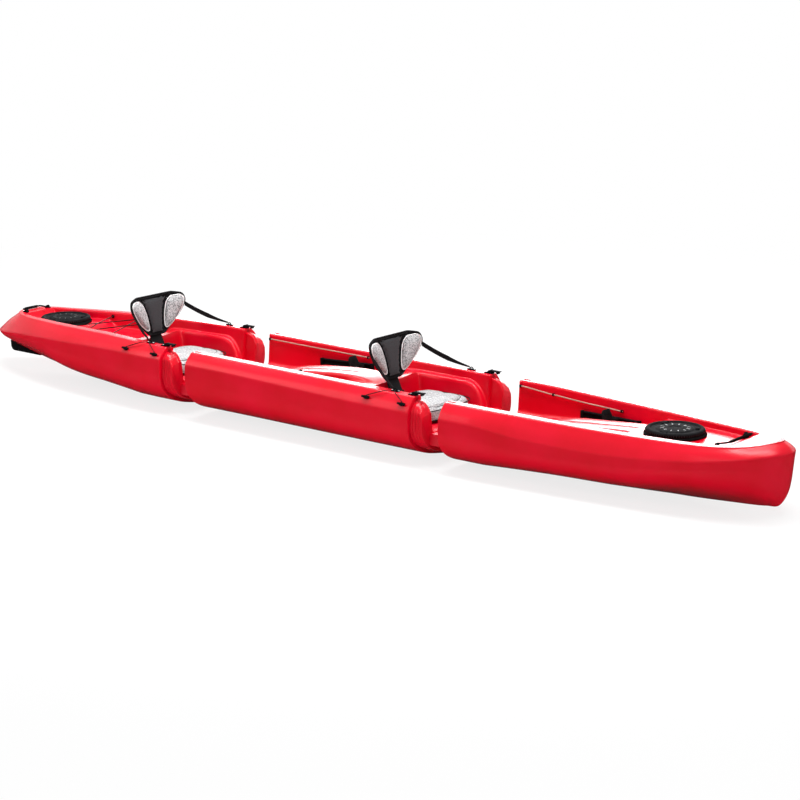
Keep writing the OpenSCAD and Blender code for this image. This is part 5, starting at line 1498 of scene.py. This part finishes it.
def addFloor():
    half = studio["size"] / 2
    mesh = bpy.data.meshes.new("studioFloor")
    low = cadBox[0][2] - studio["under"]
    mesh.from_pydata([(-half, -half, low), (half, -half, low), (half, half, low), (-half, half, low)], [],
                     [(0, 1, 2, 3)])
    floor = bpy.data.objects.new("studioFloor", mesh)
    scene.collection.objects.link(floor)
    mat, bsdf, place = newFinish("paleFloor", {"Roughness": 0.9, "Base Color": (*studio["floor"], 1)})
    path = addNode(mat, "ShaderNodeLightPath")
    seen = addMath(mat, "MAXIMUM", path.outputs["Is Camera Ray"], path.outputs["Is Transmission Ray"])
    glow = addNode(mat, "ShaderNodeEmission", inputs={"Color": (1, 1, 1, 1), "Strength": 1.0})
    away = addNode(mat, "ShaderNodeVectorMath", {"operation": "LENGTH"}, {0: place}).outputs["Value"]
    reach = addNode(mat, "ShaderNodeMapRange", {"interpolation_type": "SMOOTHSTEP"},
                    {"Value": away, "From Min": studio["near"], "From Max": studio["far"],
                     "To Min": studio["floorGlow"], "To Max": 1.0})
    part = addMath(mat, "MULTIPLY", seen, reach.outputs["Result"])
    blend = addNode(mat, "ShaderNodeMixShader",
                    inputs={0: part, 1: bsdf.outputs["BSDF"], 2: glow.outputs["Emission"]})
    dim = addNode(mat, "ShaderNodeEmission", inputs={"Color": (1, 1, 1, 1), "Strength": studio["mirrored"]})
    whole = addNode(mat, "ShaderNodeMixShader",
                    inputs={0: path.outputs["Is Glossy Ray"], 1: blend.outputs["Shader"],
                            2: dim.outputs["Emission"]})
    plug(mat, whole.outputs["Shader"], mat.node_tree.nodes["Material Output"].inputs["Surface"])
    mesh.materials.append(mat)


def addWorld():
    world = bpy.data.worlds.new("studio")
    world.use_nodes = True
    scene.world = world
    tree = world.node_tree
    back = tree.nodes["Background"]
    back.inputs["Color"].default_value = (1, 1, 1, 1)
    path = treeNode(tree, "ShaderNodeLightPath").outputs
    seen = path["Is Camera Ray"]
    for other in ("Is Glossy Ray", "Is Transmission Ray"):
        seen = treeNode(tree, "ShaderNodeMath", {"operation": "MAXIMUM"},
                        {0: seen, 1: path[other]}).outputs["Value"]
    level = treeNode(tree, "ShaderNodeMapRange",
                     inputs={"Value": seen, "To Min": studio["fill"], "To Max": 1.0})
    tree.links.new(level.outputs["Result"], back.inputs["Strength"])


def addLamps():
    for lamp in lamps:
        light = bpy.data.lights.new(lamp["name"], "AREA")
        light.shape = "RECTANGLE"
        light.size, light.size_y = lamp["size"]
        light.energy = lamp["power"]
        obj = bpy.data.objects.new(lamp["name"], light)
        obj.location = lamp["at"]
        obj.rotation_euler = (Vector(lamp["aim"]) - Vector(lamp["at"])).to_track_quat("-Z", "Y").to_euler()
        obj.visible_camera = False
        scene.collection.objects.link(obj)


addFloor()
addWorld()
addLamps()
scene.view_settings.view_transform = "Standard"
print("stage set")
